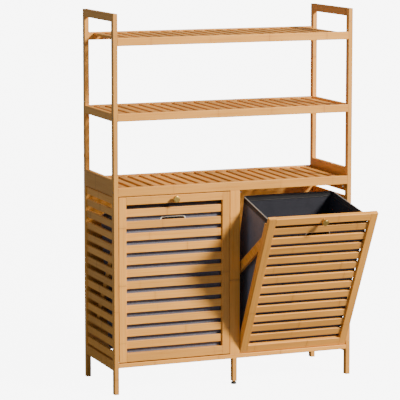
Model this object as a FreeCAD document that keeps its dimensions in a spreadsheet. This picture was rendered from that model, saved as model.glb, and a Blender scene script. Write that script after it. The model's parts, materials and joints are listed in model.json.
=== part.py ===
import FreeCAD, Part
import os
import re
import Sketcher

# A free-standing bamboo laundry cabinet: three slatted shelves over two tilt-out hampers,
# on four posts and a centre leg with a levelling foot.
# Millimetres and degrees. +Z is up and the front faces -Y. The origin is on the floor,
# at the centre of the rectangle that the four posts stand on.

SIZES = [
    # the cabinet as a whole
    ("overall_width", 980, "outside of the left posts to outside of the right posts"),
    ("overall_depth", 355, "front of the front posts to back of the rear posts"),
    ("overall_height", 1440, "floor to the top of the posts"),
    ("edge_round", 1.6, "radius of the eased long edges of every stick"),
    ("tongue_length", 9, "how far a tongue or a slat goes into the post or stile that holds it"),
    ("tongue_shoulder", 4, "how much smaller a tongue is than its rail on each side"),
    ("moving_gap", 0.4, "space between a moving piece and what it comes to rest on"),
    ("running_gap", 0.05, "radial clearance of a pin or a stem that turns or slides in its bore"),
    # posts and rails
    ("post_width", 18, "post, left to right"),
    ("post_depth", 24, "post, front to back"),
    ("rail_thickness", 20, "front and back rails, front to back"),
    ("rail_height", 30, "shelf rails and side rails, top to bottom"),
    ("top_shelf_height", 1350, "floor to the top of the upper shelf's rails"),
    ("middle_shelf_height", 1068, "floor to the top of the middle shelf's rails"),
    ("deck_height", 789, "floor to the top of the front rail over the doors"),
    ("deck_rail_height", 33, "front rail over the doors, top to bottom"),
    ("deck_back_height", 66, "back rail under the deck, top to bottom"),
    ("back_panel_thickness", 5, "panel that closes the back of the hamper space"),
    ("deck_board_rise", 30, "how far the side boards stand above the deck"),
    ("side_rail_base", 90, "floor to the underside of the lowest side rails"),
    ("side_rail_height", 36, "lowest side rails, top to bottom"),
    ("bottom_rail_base", 102, "floor to the underside of the bottom front and back rails"),
    ("bottom_rail_height", 17, "bottom front and back rails, top to bottom"),
    # slats of the shelves and of the side panels
    ("shelf_slat_width", 28, "shelf slat, left to right"),
    ("shelf_slat_thickness", 9, "shelf slat, top to bottom"),
    ("shelf_slat_drop", 3, "shelf slats lie this far below the top of their rails"),
    ("shelf_slat_count", 20, "slats on each shelf"),
    ("shelf_end_gap", 21, "post to the first slat of a shelf"),
    ("side_slat_height", 27, "side slat, top to bottom"),
    ("side_slat_thickness", 10, "side slat, left to right"),
    ("side_slat_recess", 4, "side slats lie this far inside the outer face of the posts"),
    ("side_slat_count", 14, "slats in each side panel"),
    ("side_slat_top_gap", 4, "deck board to the highest side slat"),
    ("side_slat_base_gap", 8, "lowest side rail to the lowest side slat"),
    # centre stile, centre leg and levelling foot
    ("centre_stile_width", 41, "stile between the two doors, left to right"),
    ("centre_tongue", 6, "tongues of the centre stile and the centre leg"),
    ("centre_leg_width", 18, "centre leg, left to right"),
    ("centre_leg_depth", 23, "centre leg, front to back"),
    ("foot_height", 13, "floor to the end of the centre leg"),
    ("foot_pad_radius", 11, "pad of the levelling foot"),
    ("foot_pad_height", 9, "pad of the levelling foot, top to bottom"),
    ("foot_ease", 1.5, "bevel of the pad of the levelling foot"),
    ("foot_stem_radius", 4, "stem of the levelling foot"),
    ("foot_stem_length", 25, "stem of the levelling foot inside the leg"),
    ("foot_travel", 12, "space for the stem above its lowest engagement"),
    ("insert_radius", 6.5, "outside of the sleeve that holds the stem"),
    ("insert_length", 20, "length of the sleeve that holds the stem"),
    # doors
    ("door_side_gap", 1.5, "door to post and door to centre stile"),
    ("door_top_gap", 3, "door to the rail above it"),
    ("door_base_gap", 4, "door to the rail below it"),
    ("door_thickness", 18, "door frame, front to back"),
    ("door_stile_width", 30, "door stile, left to right"),
    ("door_top_rail_height", 30.5, "top rail of a door"),
    ("door_base_rail_height", 33.5, "bottom rail of a door"),
    ("door_slat_count", 12, "slats in each door"),
    ("door_slat_height", 29, "door slat, top to bottom"),
    ("door_slat_thickness", 9, "door slat, front to back"),
    ("door_slat_setback", 6.5, "door slats lie this far behind the face of the stiles"),
    ("door_tilt", 27, "angle of an open door"),
    ("pivot_setback", 8, "front of a door to the axis it tilts about"),
    ("pivot_rise", 8, "underside of a door to the axis it tilts about"),
    ("pivot_pin_radius", 3, "hinge pin"),
    ("pivot_pin_reach", 15, "how far a hinge pin goes into a door"),
    ("pivot_pin_inset", 2, "end of a hinge pin to the outer face of its post"),
    # battens, braces and crossbar behind each door
    ("batten_width", 18, "batten behind a door stile, left to right"),
    ("batten_thickness", 18, "batten behind a door stile, front to back"),
    ("batten_inset", 1, "batten to the edge of the door"),
    ("batten_top_drop", 40, "top of the door to the top of a batten"),
    ("brace_thickness", 12, "brace, left to right"),
    ("brace_inset", 4, "brace to the edge of the door"),
    ("brace_top_drop", 100, "top of the door to the top of a brace"),
    ("brace_end_height", 64, "upright cut end of a brace, top to bottom"),
    ("brace_fall", 378, "upper end of a brace to its lower end, downwards"),
    ("brace_reach", 262, "hinge axis to the rear end of a brace"),
    ("brace_housing", 5, "how far a brace is let into its batten"),
    ("crossbar_height", 30, "bar that joins the rear ends of the braces"),
    ("crossbar_depth", 18, "the same bar, front to back"),
    # stops, catches and screws
    ("stop_peg_radius", 7, "peg that stops an open door"),
    ("stop_peg_slat", 5, "side slat that holds the stop peg, counted upwards from 0"),
    ("stop_peg_overlap", 8, "length of a brace that the stop peg reaches across"),
    ("catch_width", 12, "catch block behind the upper corner of a door"),
    ("catch_depth", 12, "catch block, front to back"),
    ("catch_inset", 2, "catch block to the edge of the door"),
    ("catch_hang", 15, "how far a catch block hangs below the rail over the door"),
    ("catch_hold", 17, "how far a catch block lies behind the rail over the door"),
    ("catch_magnet_radius", 3.5, "magnet in a catch block"),
    ("catch_magnet_depth", 4, "how far a magnet is let into its catch block"),
    ("catch_plate_radius", 4.5, "steel plate let into the door behind a magnet"),
    ("catch_plate_thickness", 1.5, "the same plate"),
    ("catch_magnet_drop", 7, "top of the door to the centre of a magnet"),
    ("screw_radius", 2.5, "frame screw, shank"),
    ("screw_head_radius", 4.5, "frame screw, head"),
    ("screw_head_height", 4, "frame screw, head"),
    ("screw_length", 40, "frame screw, head and shank"),
    ("screw_socket_radius", 1.8, "hexagon-like socket in a screw's head, taken as round"),
    ("door_screw_radius", 2, "door screw, shank"),
    ("door_screw_head_radius", 4, "door screw, head"),
    ("door_screw_head_height", 2.4, "door screw, head"),
    ("door_screw_length", 30, "door screw, shank under the head"),
    ("batten_screw_rise", 60, "hinge axis to the lower screw of a batten"),
    ("batten_screw_drop", 20, "top of a batten to its upper screw"),
    # knobs
    ("knob_radius", 13, "widest part of a knob"),
    ("knob_neck_radius", 6, "narrowest part of a knob"),
    ("knob_base_radius", 8, "part of a knob that bears on the door"),
    ("knob_face_radius", 8, "flat end of a knob"),
    ("knob_length", 23, "door to the end of a knob"),
    ("knob_base_reach", 2, "door to the end of the knob's foot"),
    ("knob_neck_start", 6, "door to the start of the knob's neck"),
    ("knob_neck_end", 9, "door to the end of the knob's neck"),
    ("knob_widest_reach", 16, "door to the widest part of a knob"),
    ("knob_edge_reach", 3, "widest part of a knob to where it bends more sharply"),
    ("knob_edge_inset", 1.5, "how much narrower a knob is at that bend"),
    # hamper liners
    ("liner_side_gap", 21, "liner to the edge of the door on each side"),
    ("liner_taper", 13, "how much a liner narrows on each side from the front to the rear of its rim"),
    ("liner_front_gap", 3, "back of the door to the liner"),
    ("liner_wall", 2, "cloth with its stiffening board"),
    ("liner_corner", 14, "radius of the liner's upright and lower edges"),
    ("liner_base_rise", 12, "underside of the door to the underside of the liner"),
    ("liner_front_drop", 32, "top of the door to the front of the liner's rim"),
    ("liner_rear_drop", 119, "top of the door to the rear of the liner's rim"),
    ("liner_rim_depth", 297, "liner at its rim, front to back"),
    ("liner_base_depth", 203, "liner at its base, front to back"),
    ("rim_wire_radius", 2, "wire that holds the rim open"),
    ("rim_wire_plug", 10, "how far the rim wire goes forward of the liner, into the door"),
    ("pull_hole_width", 104, "grommet of the hand-hole, left to right"),
    ("pull_hole_height", 34, "grommet of the hand-hole, top to bottom"),
    ("pull_hole_drop", 82.5, "top of the door to the top of the grommet"),
    ("pull_corner", 14, "radius of the grommet's corners"),
    ("pull_rim", 3.6, "width of the grommet's ring"),
    ("pull_depth", 4.5, "grommet, front to back"),
]

DOC = FreeCAD.newDocument("laundry_cabinet")
DIMS = DOC.addObject("Spreadsheet::Sheet", "Dims")
for row, (alias, number, meaning) in enumerate(SIZES, start=1):
    DIMS.set(f"A{row}", meaning)
    DIMS.set(f"B{row}", str(number))
    DIMS.setAlias(f"B{row}", alias)
DOC.recompute()

NODES = []

# Each direction of a stick: the origin plane of its section, and the two axes of that plane.
SECTIONS = {"x": ("YZ_Plane", "y", "z"), "y": ("XZ_Plane", "x", "z"), "z": ("XY_Plane", "x", "y")}
FULL_TURN = 360
QUARTER_TURN = 90


# ---- expressions and placements

def from_sheet(text):
    """Every word with an underscore is a cell of the sheet."""
    return re.sub(r"\b([a-z]+(?:_[a-z]+)+)\b", r"Dims.\1", text)


def value(text):
    return float(DIMS.evalExpression(from_sheet(text).replace("Dims.", "")))


def bind(item, name, text):
    item.setExpression(name, from_sheet(text))


def put(item, x="0", y="0", z="0", turn=None):
    """Place an item by expressions; turn is an axis and an angle."""
    if turn:
        axis, angle = turn
        item.Placement = FreeCAD.Placement(FreeCAD.Vector(), FreeCAD.Rotation(axis, value(angle)))
    for name, text in (("x", x), ("y", y), ("z", z)):
        bind(item, f"Placement.Base.{name}", text)
    return item


def keep(item, label):
    """Mark an item as a finished piece of the cabinet."""
    item.Label = label
    NODES.append(item)
    return item


# A span is the text of where a stick starts on one axis, and of how long it is there.

def left(near, size):
    return f"({near}) - overall_width / 2", size


def front(near, size):
    return f"({near}) - overall_depth / 2", size


def back(near, size):
    return f"overall_depth / 2 - ({near}) - ({size})", size


def centred(size):
    return f"-({size}) / 2", size


def up(base, size):
    return base, size


def down(top, size):
    return f"({top}) - ({size})", size


def inset(span, amount):
    start, size = span
    return f"({start}) + ({amount})", f"({size}) - 2 * ({amount})"


# ---- sketches

def add_sketch(body, role):
    plane = next(item for item in body.Origin.OriginFeatures if item.Role == role)
    sketch = body.newObject("Sketcher::SketchObject", body.Name + "_sketch")
    sketch.AttachmentSupport = (plane, "")
    sketch.MapMode = "FlatFace"
    return sketch


def size_constraint(sketch, text, kind, *where):
    index = sketch.addConstraint(Sketcher.Constraint(kind, *where, value(text)))
    name = f"size_{index}"
    sketch.renameConstraint(index, name)
    bind(sketch, f"Constraints.{name}", text)


def line(start, end):
    return Part.LineSegment(FreeCAD.Vector(*start, 0), FreeCAD.Vector(*end, 0))


def arc(centre, radius, start, end):
    circle = Part.Circle(FreeCAD.Vector(*centre, 0), FreeCAD.Vector(0, 0, 1), radius)
    to_radians = FreeCAD.Units.Quantity("1 deg").getValueAs("rad").Value
    return Part.ArcOfCircle(circle, start * to_radians, end * to_radians)


def rounded_rectangle(sketch, width, height, radius):
    """A rectangle from the sketch's origin, with four equal round corners."""
    w, h, r = value(width), value(height), value(radius)
    sketch.addGeometry([
        line((r, 0), (w - r, 0)),
        arc((w - r, r), r, -90, 0),
        line((w, r), (w, h - r)),
        arc((w - r, h - r), r, 0, 90),
        line((w - r, h), (r, h)),
        arc((r, h - r), r, 90, 180),
        line((0, h - r), (0, r)),
        arc((r, r), r, 180, 270),
    ])
    for index in range(8):
        sketch.addConstraint(Sketcher.Constraint("Tangent", index, 2, (index + 1) % 8, 1))
    for index, kind in ((0, "Horizontal"), (2, "Vertical"), (4, "Horizontal"), (6, "Vertical")):
        sketch.addConstraint(Sketcher.Constraint(kind, index))
    for index in (3, 5, 7):
        sketch.addConstraint(Sketcher.Constraint("Equal", 1, index))
    sketch.addConstraint(Sketcher.Constraint("PointOnObject", 0, 1, -1))
    sketch.addConstraint(Sketcher.Constraint("PointOnObject", 6, 1, -2))
    size_constraint(sketch, width, "DistanceX", 6, 1, 2, 1)
    size_constraint(sketch, height, "DistanceY", 0, 1, 4, 1)
    size_constraint(sketch, radius, "Radius", 1)


def polygon(sketch, points):
    """A closed outline; each point is a pair of texts, none of them below zero."""
    corners = [(value(x), value(y)) for x, y in points]
    count = len(points)
    sketch.addGeometry([line(corners[i], corners[(i + 1) % count]) for i in range(count)])
    for index, (x, y) in enumerate(points):
        sketch.addConstraint(Sketcher.Constraint("Coincident", index, 2, (index + 1) % count, 1))
        for text, kind, axis in ((x, "DistanceX", -2), (y, "DistanceY", -1)):
            if text == "0":
                sketch.addConstraint(Sketcher.Constraint("PointOnObject", index, 1, axis))
            else:
                size_constraint(sketch, text, kind, index, 1)


# ---- pieces

def pad(body, sketch, length, reverse=False):
    feature = body.newObject("PartDesign::Pad", body.Name + "_pad")
    feature.Profile = sketch
    feature.Reversed = reverse
    bind(feature, "Length", length)
    return feature


def stick(name, along, x, y, z, rounding="edge_round"):
    """A straight stick with eased edges, given its span on each axis."""
    spans = {"x": x, "y": y, "z": z}
    role, across, upwards = SECTIONS[along]
    body = DOC.addObject("PartDesign::Body", name)
    sketch = add_sketch(body, role)
    rounded_rectangle(sketch, spans[across][1], spans[upwards][1], rounding)
    pad(body, sketch, spans[along][1], reverse=(along == "y"))
    return put(body, x[0], y[0], z[0])


def row_of(body, axis, count, pitch):
    """Repeat the stick in a body along one of the body's own axes."""
    direction = next(item for item in body.Origin.OriginFeatures if item.Role == axis)
    pattern = body.newObject("PartDesign::LinearPattern", body.Name + "_row")
    pattern.Originals = [body.Tip]
    pattern.Direction = (direction, [""])
    pattern.Mode = "Spacing"
    bind(pattern, "Offset", pitch)
    bind(pattern, "Occurrences", count)
    body.AllowCompound = True
    body.Tip = pattern
    return body


def turned(name, points):
    """A round piece about its own Z axis; points are pairs of radius and height."""
    body = DOC.addObject("PartDesign::Body", name)
    sketch = add_sketch(body, "XZ_Plane")
    polygon(sketch, points)
    feature = body.newObject("PartDesign::Revolution", name + "_turn")
    feature.Profile = sketch
    feature.ReferenceAxis = (sketch, ["V_Axis"])
    feature.Angle = FULL_TURN
    return body


def soften(body, radius, wanted):
    """Round the edges of the body's last feature that the test picks."""
    DOC.recompute()
    base = body.Tip
    edges = [f"Edge{i}" for i, edge in enumerate(base.Shape.Edges, start=1) if wanted(edge)]
    fillet = body.newObject("PartDesign::Fillet", body.Name + "_round")
    fillet.Base = (base, edges)
    bind(fillet, "Radius", radius)
    return body


def group(name, items):
    compound = DOC.addObject("Part::Compound", name)
    compound.Links = items
    return compound


def fuse(name, items):
    fusion = DOC.addObject("Part::MultiFuse", name)
    fusion.Shapes = items
    return fusion


def cut(name, base, tools):
    """Cut each tool out of the base in turn."""
    for index, tool in enumerate(tools, start=1):
        last = index == len(tools)
        result = DOC.addObject("Part::Cut", name if last else f"{name}_step{index}")
        result.Base = base
        result.Tool = tool
        base = result
    return base


def mirror(name, source):
    """The same piece on the other side of the cabinet's middle plane."""
    image = DOC.addObject("Part::Mirroring", name)
    image.Source = source
    image.Normal = FreeCAD.Vector(1, 0, 0)
    return image


def rod(name, axis, radius, x, y, z, length):
    """A plain cylinder that starts at x, y, z and runs along +X, +Y or +Z."""
    turns = {"x": (FreeCAD.Vector(0, 1, 0), "90"), "y": (FreeCAD.Vector(1, 0, 0), "-90"), "z": None}
    cylinder = DOC.addObject("Part::Cylinder", name)
    bind(cylinder, "Radius", radius)
    bind(cylinder, "Height", length)
    return put(cylinder, x, y, z, turn=turns[axis])


def long_rail(name, y, z):
    """A rail that runs from the left posts to the right posts."""
    return stick(name, "x", inset(centred("overall_width"), "post_width"), y, z)


def tongued(name, along, x, y, z, tongue):
    """A stick whose two ends carry a smaller tongue; its spans are those between the shoulders."""
    spans = {"x": x, "y": y, "z": z}
    reached = {axis: inset(span, f"-({tongue})" if axis == along else "tongue_shoulder")
               for axis, span in spans.items()}
    body = stick(name + "_shoulders", along, x, y, z)
    tongues = stick(name + "_tongues", along, reached["x"], reached["y"], reached["z"])
    return fuse(name, [body, tongues])


# ---- levels and lines that several pieces share

DECK_RAIL_BASE = "(deck_height - deck_rail_height)"
DOOR_TOP = f"({DECK_RAIL_BASE} - door_top_gap)"
DOOR_BASE = "(bottom_rail_base + bottom_rail_height + door_base_gap)"
DOOR_HEIGHT = f"({DOOR_TOP} - {DOOR_BASE})"
DOOR_WIDTH = "((overall_width - centre_stile_width) / 2 - post_width - 2 * door_side_gap)"
DOOR_CENTRE = f"(centre_stile_width / 2 + door_side_gap + {DOOR_WIDTH} / 2)"
PIVOT_Y = "(pivot_setback - overall_depth / 2)"
PIVOT_Z = f"({DOOR_BASE} + pivot_rise)"
SIDE_SLAT_BASE = "(side_rail_base + side_rail_height + side_slat_base_gap)"
SIDE_SLAT_PITCH = (f"(({DECK_RAIL_BASE} - side_slat_top_gap - side_slat_height - {SIDE_SLAT_BASE})"
                   " / (side_slat_count - 1))")

FRONT_RAIL = front("0", "rail_thickness")
BACK_RAIL = back("0", "rail_thickness")


# ---- fasteners, made first because the holes are cut with them

SCREW_OUTSIDE = [
    ("0", "0"),
    ("screw_radius", "0"),
    ("screw_radius", "screw_length - screw_head_height"),
    ("screw_head_radius", "screw_length - screw_head_height"),
    ("screw_head_radius", "screw_length"),
]
SCREW_SOCKET = [
    ("screw_socket_radius", "screw_length"),
    ("screw_socket_radius", "screw_length - screw_head_height / 2"),
    ("0", "screw_length - screw_head_height / 2"),
]
SCREW = turned("frame_screw", SCREW_OUTSIDE + SCREW_SOCKET)
SCREW_HOLE = turned("frame_screw_hole", SCREW_OUTSIDE + [("0", "screw_length")])

DOOR_SCREW = turned("door_screw", [
    ("0", "0"),
    ("door_screw_radius", "0"),
    ("door_screw_radius", "door_screw_length"),
    ("door_screw_head_radius", "door_screw_length"),
    ("door_screw_head_radius / 2", "door_screw_length + door_screw_head_height"),
    ("0", "door_screw_length + door_screw_head_height"),
])


def frame_screws(name, shape):
    """One screw, or its hole, through each left post into the end of each front and back rail."""
    levels = [
        ("front", "top_shelf_height - rail_height / 2"),
        ("back", "top_shelf_height - rail_height / 2"),
        ("front", "middle_shelf_height - rail_height / 2"),
        ("back", "middle_shelf_height - rail_height / 2"),
        ("front", "deck_height - deck_rail_height / 2"),
        ("back", "deck_height - deck_back_height / 2"),
        ("front", "bottom_rail_base + bottom_rail_height / 2"),
        ("back", "bottom_rail_base + bottom_rail_height / 2"),
    ]
    depth = {"front": "(rail_thickness - overall_depth) / 2", "back": "(overall_depth - rail_thickness) / 2"}
    towards_left = (FreeCAD.Vector(0, -1, 0), "90")
    screws = []
    for index, (row, level) in enumerate(levels):
        screw = group(f"{name}_number{index}", [shape])
        put(screw, "screw_length - overall_width / 2", depth[row], level, turn=towards_left)
        screws.append(screw)
    return group(name, screws)


LEFT_SCREWS = frame_screws("left_screws", SCREW)
LEFT_HOLES = frame_screws("left_holes", SCREW_HOLE)
RIGHT_HOLES = mirror("right_holes", LEFT_HOLES)
LEFT_PIN = rod("left_pin", "x", "pivot_pin_radius", "pivot_pin_inset - overall_width / 2", PIVOT_Y, PIVOT_Z,
               "post_width - pivot_pin_inset + door_side_gap + pivot_pin_reach")
CENTRE_PIN = rod("centre_pin", "x", "pivot_pin_radius",
                 "-centre_stile_width / 2 - door_side_gap - pivot_pin_reach", PIVOT_Y, PIVOT_Z,
                 "centre_stile_width + 2 * (door_side_gap + pivot_pin_reach)")


# ---- the left side frame; the right one is its mirror image

def side_rail(name, z):
    between_posts = inset(centred("overall_depth"), "post_depth")
    return tongued(name, "y", left("0", "post_width"), between_posts, z, "tongue_length")


def side_slats():
    body = stick("left_slats", "y", left("side_slat_recess", "side_slat_thickness"),
                 inset(centred("overall_depth"), "post_depth - tongue_length"),
                 up(SIDE_SLAT_BASE, "side_slat_height"))
    return row_of(body, "Z_Axis", "side_slat_count", SIDE_SLAT_PITCH)


def stop_peg():
    """A peg in a side slat, just in front of the outer brace of an open door."""
    # The brace turns by the door's tilt about the hinge axis. lean is the brace's angle from the
    # upright when the door is open, and the brace's front edge starts at edge_y, edge_z when shut.
    lean = f"(atan((brace_reach - {BATTEN_BACK}) / brace_fall) + door_tilt * 1 deg)"
    edge_y = f"({BATTEN_BACK})"
    edge_z = f"({DOOR_HEIGHT} - pivot_rise - brace_top_drop - brace_end_height)"
    open_y = f"({edge_y} * cos(door_tilt * 1 deg) - {edge_z} * sin(door_tilt * 1 deg))"
    open_z = f"({edge_y} * sin(door_tilt * 1 deg) + {edge_z} * cos(door_tilt * 1 deg))"
    level = f"({SIDE_SLAT_BASE} + stop_peg_slat * {SIDE_SLAT_PITCH} + side_slat_height / 2)"
    reach = "(stop_peg_radius + moving_gap)"
    peg_y = f"({open_y} + ({open_z} + {PIVOT_Z} - {level}) * tan({lean}) - {reach} / cos({lean}))"
    length = ("post_width - side_slat_recess + door_side_gap + brace_inset + stop_peg_overlap")
    return rod("left_peg", "x", "stop_peg_radius", "side_slat_recess - overall_width / 2",
               f"{PIVOT_Y} + {peg_y}", level, length)


# The rear faces of the door frame and of the battens, measured back from the hinge axis.
DOOR_BACK = "(door_thickness - pivot_setback)"
BATTEN_BACK = f"({DOOR_BACK} + batten_thickness)"

LEFT_RAILS = {
    "top_rail": side_rail("left_top", down("overall_height", "rail_height")),
    "middle_rail": side_rail("left_middle", down("middle_shelf_height", "rail_height")),
    "deck_board": side_rail("left_deck", up(DECK_RAIL_BASE, "deck_rail_height + deck_board_rise")),
    "bottom_rail": side_rail("left_bottom", up("side_rail_base", "side_rail_height")),
}
LEFT_PEG = stop_peg()
LEFT_SLATS = cut("left_panel", side_slats(), [LEFT_PEG])
HELD_BY_POSTS = [*LEFT_RAILS.values(), LEFT_SLATS, LEFT_HOLES, LEFT_PIN]
LEFT_POSTS = {
    "front_post": cut("left_front", stick("left_front_blank", "z", left("0", "post_width"),
                                          front("0", "post_depth"), up("0", "overall_height")),
                      HELD_BY_POSTS),
    "rear_post": cut("left_rear", stick("left_rear_blank", "z", left("0", "post_width"),
                                        back("0", "post_depth"), up("0", "overall_height")),
                     HELD_BY_POSTS),
}
for part, item in {**LEFT_RAILS, **LEFT_POSTS, "side_slats": LEFT_SLATS}.items():
    image = mirror(f"{item.Name}_image", item)
    if part == "deck_board":
        keep(group("both_deck_boards", [item, image]), "deck_boards")
    else:
        keep(item, f"left_{part}")
        keep(image, f"right_{part}")


# ---- shelves

def shelf(name, height, front_height, back_height):
    """Front rail, back rail and slats; the slats' ends are let into both rails."""
    slats = stick(f"{name}_row", "y",
                  ("shelf_end_gap + post_width - overall_width / 2", "shelf_slat_width"),
                  inset(centred("overall_depth"), "rail_thickness - tongue_length"),
                  down(f"{height} - shelf_slat_drop", "shelf_slat_thickness"))
    pitch = ("(overall_width - 2 * post_width - 2 * shelf_end_gap - shelf_slat_width)"
             " / (shelf_slat_count - 1)")
    keep(row_of(slats, "X_Axis", "shelf_slat_count", pitch), f"{name}_slats")
    rails = []
    for place, y, rail_height in (("front", FRONT_RAIL, front_height), ("back", BACK_RAIL, back_height)):
        blank = long_rail(f"{name}_{place}_blank", y, down(height, rail_height))
        rails.append((f"{name}_{place}_rail", blank, [slats, LEFT_HOLES, RIGHT_HOLES]))
    return rails


RAILS = [
    *shelf("top_shelf", "top_shelf_height", "rail_height", "rail_height"),
    *shelf("middle_shelf", "middle_shelf_height", "rail_height", "rail_height"),
    *shelf("deck", "deck_height", "deck_rail_height", "deck_back_height"),
]

# ---- centre stile, centre leg and bottom rails

CENTRE_STILE = tongued("centre_post", "z", centred("centre_stile_width"), FRONT_RAIL,
                       ("bottom_rail_base + bottom_rail_height",
                        f"{DECK_RAIL_BASE} - bottom_rail_base - bottom_rail_height"), "centre_tongue")
CENTRE_LEG = fuse("centre_support", [
    stick("centre_support_shoulders", "z", centred("centre_leg_width"), front("0", "centre_leg_depth"),
          up("foot_height", "bottom_rail_base - foot_height")),
    stick("centre_support_tongue", "z", inset(centred("centre_leg_width"), "tongue_shoulder"),
          inset(FRONT_RAIL, "tongue_shoulder"),
          up("foot_height + insert_length + foot_travel + foot_stem_length",
             "bottom_rail_base + centre_tongue - foot_height - insert_length - foot_travel"
             " - foot_stem_length")),
])
BOTTOM_RAIL = up("bottom_rail_base", "bottom_rail_height")
for place, y in (("front", FRONT_RAIL), ("back", BACK_RAIL)):
    blank = long_rail(f"bottom_{place}_blank", y, BOTTOM_RAIL)
    RAILS.append((f"bottom_{place}_rail", blank, [LEFT_HOLES, RIGHT_HOLES]))

PANEL_BASE = "(bottom_rail_base + bottom_rail_height / 2)"
keep(long_rail("rear_panel", back("rail_thickness", "back_panel_thickness"),
               (PANEL_BASE, f"deck_height - deck_back_height / 2 - {PANEL_BASE}")), "back_panel")

CENTRE_JOINTS = {"deck_front_rail": [CENTRE_STILE], "bottom_front_rail": [CENTRE_STILE, CENTRE_LEG]}


def catches():
    """Four catch blocks under the front rail, each with a magnet that faces a plate in a door."""
    blocks, magnets = [], []
    edges = [(f"{DOOR_CENTRE} - {DOOR_WIDTH} / 2 + catch_inset", "inner"),
             (f"{DOOR_CENTRE} + {DOOR_WIDTH} / 2 - catch_inset - catch_width", "outer")]
    for start, name in edges:
        block = stick(f"catch_{name}", "x", (start, "catch_width"), front("rail_thickness", "catch_depth"),
                      (f"{DECK_RAIL_BASE} - catch_hang", "catch_hang + catch_hold"))
        magnet = rod(f"magnet_{name}", "y", "catch_magnet_radius", f"{start} + catch_width / 2",
                     "door_thickness + moving_gap - overall_depth / 2",
                     f"{DOOR_TOP} - catch_magnet_drop",
                     "rail_thickness - door_thickness - moving_gap + catch_magnet_depth")
        block = cut(f"catch_{name}_bored", block, [magnet])
        blocks += [block, mirror(f"catch_{name}_image", block)]
        magnets += [magnet, mirror(f"magnet_{name}_image", magnet)]
    keep(group("catches", blocks), "catch_blocks")
    keep(group("magnets", magnets), "catch_magnets")


catches()
for label, blank, tools in RAILS:
    keep(cut(label, blank, tools + CENTRE_JOINTS.get(label, [])), label)
keep(cut("centre_upright", CENTRE_STILE, [CENTRE_PIN]), "centre_stile")
keep(group("screws", [LEFT_SCREWS, mirror("right_screws", LEFT_SCREWS)]), "frame_screws")
keep(group("pins", [LEFT_PIN, CENTRE_PIN, mirror("right_pin", LEFT_PIN)]), "pivot_pins")
keep(group("pegs", [LEFT_PEG, mirror("right_peg", LEFT_PEG)]), "stop_pegs")


def levelling_foot():
    """A pad on a stem that slides in a sleeve in the end of the centre leg."""
    foot_y = "(centre_leg_depth - overall_depth) / 2"
    foot = turned("foot", [
        ("0", "0"),
        ("foot_pad_radius - foot_ease", "0"),
        ("foot_pad_radius", "foot_ease"),
        ("foot_pad_radius", "foot_pad_height - foot_ease"),
        ("foot_pad_radius - foot_ease", "foot_pad_height"),
        ("foot_stem_radius", "foot_pad_height"),
        ("foot_stem_radius", "foot_height + foot_stem_length"),
        ("0", "foot_height + foot_stem_length"),
    ])
    sleeve = turned("sleeve", [
        ("foot_stem_radius + running_gap", "foot_height"),
        ("insert_radius", "foot_height"),
        ("insert_radius", "foot_height + insert_length"),
        ("foot_stem_radius + running_gap", "foot_height + insert_length"),
    ])
    room = rod("foot_room", "z", "insert_radius", "0", foot_y, "foot_height",
               "insert_length + foot_travel")
    keep(put(foot, y=foot_y), "levelling_foot")
    keep(put(sleeve, y=foot_y), "foot_sleeve")
    keep(cut("centre_support_bored", CENTRE_LEG, [room]), "centre_leg")


levelling_foot()


# ---- one hamper, drawn upright with its hinge axis on the X axis and its middle at X = 0

DOOR_FRONT = ("-pivot_setback", "door_thickness")
DOOR_FACE_TOP = f"({DOOR_HEIGHT} - pivot_rise)"
LINER_WIDTH = f"({DOOR_WIDTH} - 2 * liner_side_gap)"
LINER_FRONT = f"({DOOR_BACK} + liner_front_gap)"
RIM_SLOPE = "atan((liner_rear_drop - liner_front_drop) / liner_rim_depth)"
SIDE_SLANT = "atan(liner_taper / liner_rim_depth)"


def door_frame():
    """Two stiles, two rails tongued into them, and slats let into them."""
    between = inset(centred(DOOR_WIDTH), "door_stile_width")
    top_rail = tongued("hamper_top", "x", between, DOOR_FRONT,
                       down(DOOR_FACE_TOP, "door_top_rail_height"), "tongue_length")
    base_rail = tongued("hamper_base", "x", between, DOOR_FRONT,
                        up("-pivot_rise", "door_base_rail_height"), "tongue_length")
    space = f"({DOOR_HEIGHT} - door_top_rail_height - door_base_rail_height)"
    gap = f"(({space} - door_slat_count * door_slat_height) / (door_slat_count + 1))"
    slats = stick("hamper_slats", "x", inset(between, "-tongue_length"),
                  ("door_slat_setback - pivot_setback", "door_slat_thickness"),
                  up(f"door_base_rail_height - pivot_rise + {gap}", "door_slat_height"))
    row_of(slats, "Z_Axis", "door_slat_count", f"{gap} + door_slat_height")
    return top_rail, base_rail, slats


def on_both_sides(name, item):
    """The item and its mirror image, as one group of two solids."""
    return group(name, [item, mirror(name + "_image", item)])


def door_screws():
    """The knob's screw, and two screws through each batten into its stile."""
    towards_back = (FreeCAD.Vector(-1, 0, 0), "90")
    knob_screw = put(group("knob_screw", [DOOR_SCREW]), "0", f"{DOOR_BACK} - door_screw_length",
                     f"{DOOR_FACE_TOP} - door_top_rail_height / 2", turn=towards_back)
    side = f"batten_inset + batten_width / 2 - {DOOR_WIDTH} / 2"
    batten_screws = []
    for name, level in (("low", "batten_screw_rise"),
                        ("high", f"{DOOR_FACE_TOP} - batten_top_drop - batten_screw_drop")):
        screw = group(f"batten_screw_{name}", [DOOR_SCREW])
        put(screw, side, f"{BATTEN_BACK} - door_screw_length", level, turn=towards_back)
        batten_screws.append(screw)
    sides = on_both_sides("batten_screws", group("batten_screws_left", batten_screws))
    return knob_screw, sides


def door_battens():
    return stick("hamper_batten", "z", (f"batten_inset - {DOOR_WIDTH} / 2", "batten_width"),
                 (DOOR_BACK, "batten_thickness"), ("0", f"{DOOR_FACE_TOP} - batten_top_drop"))


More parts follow.
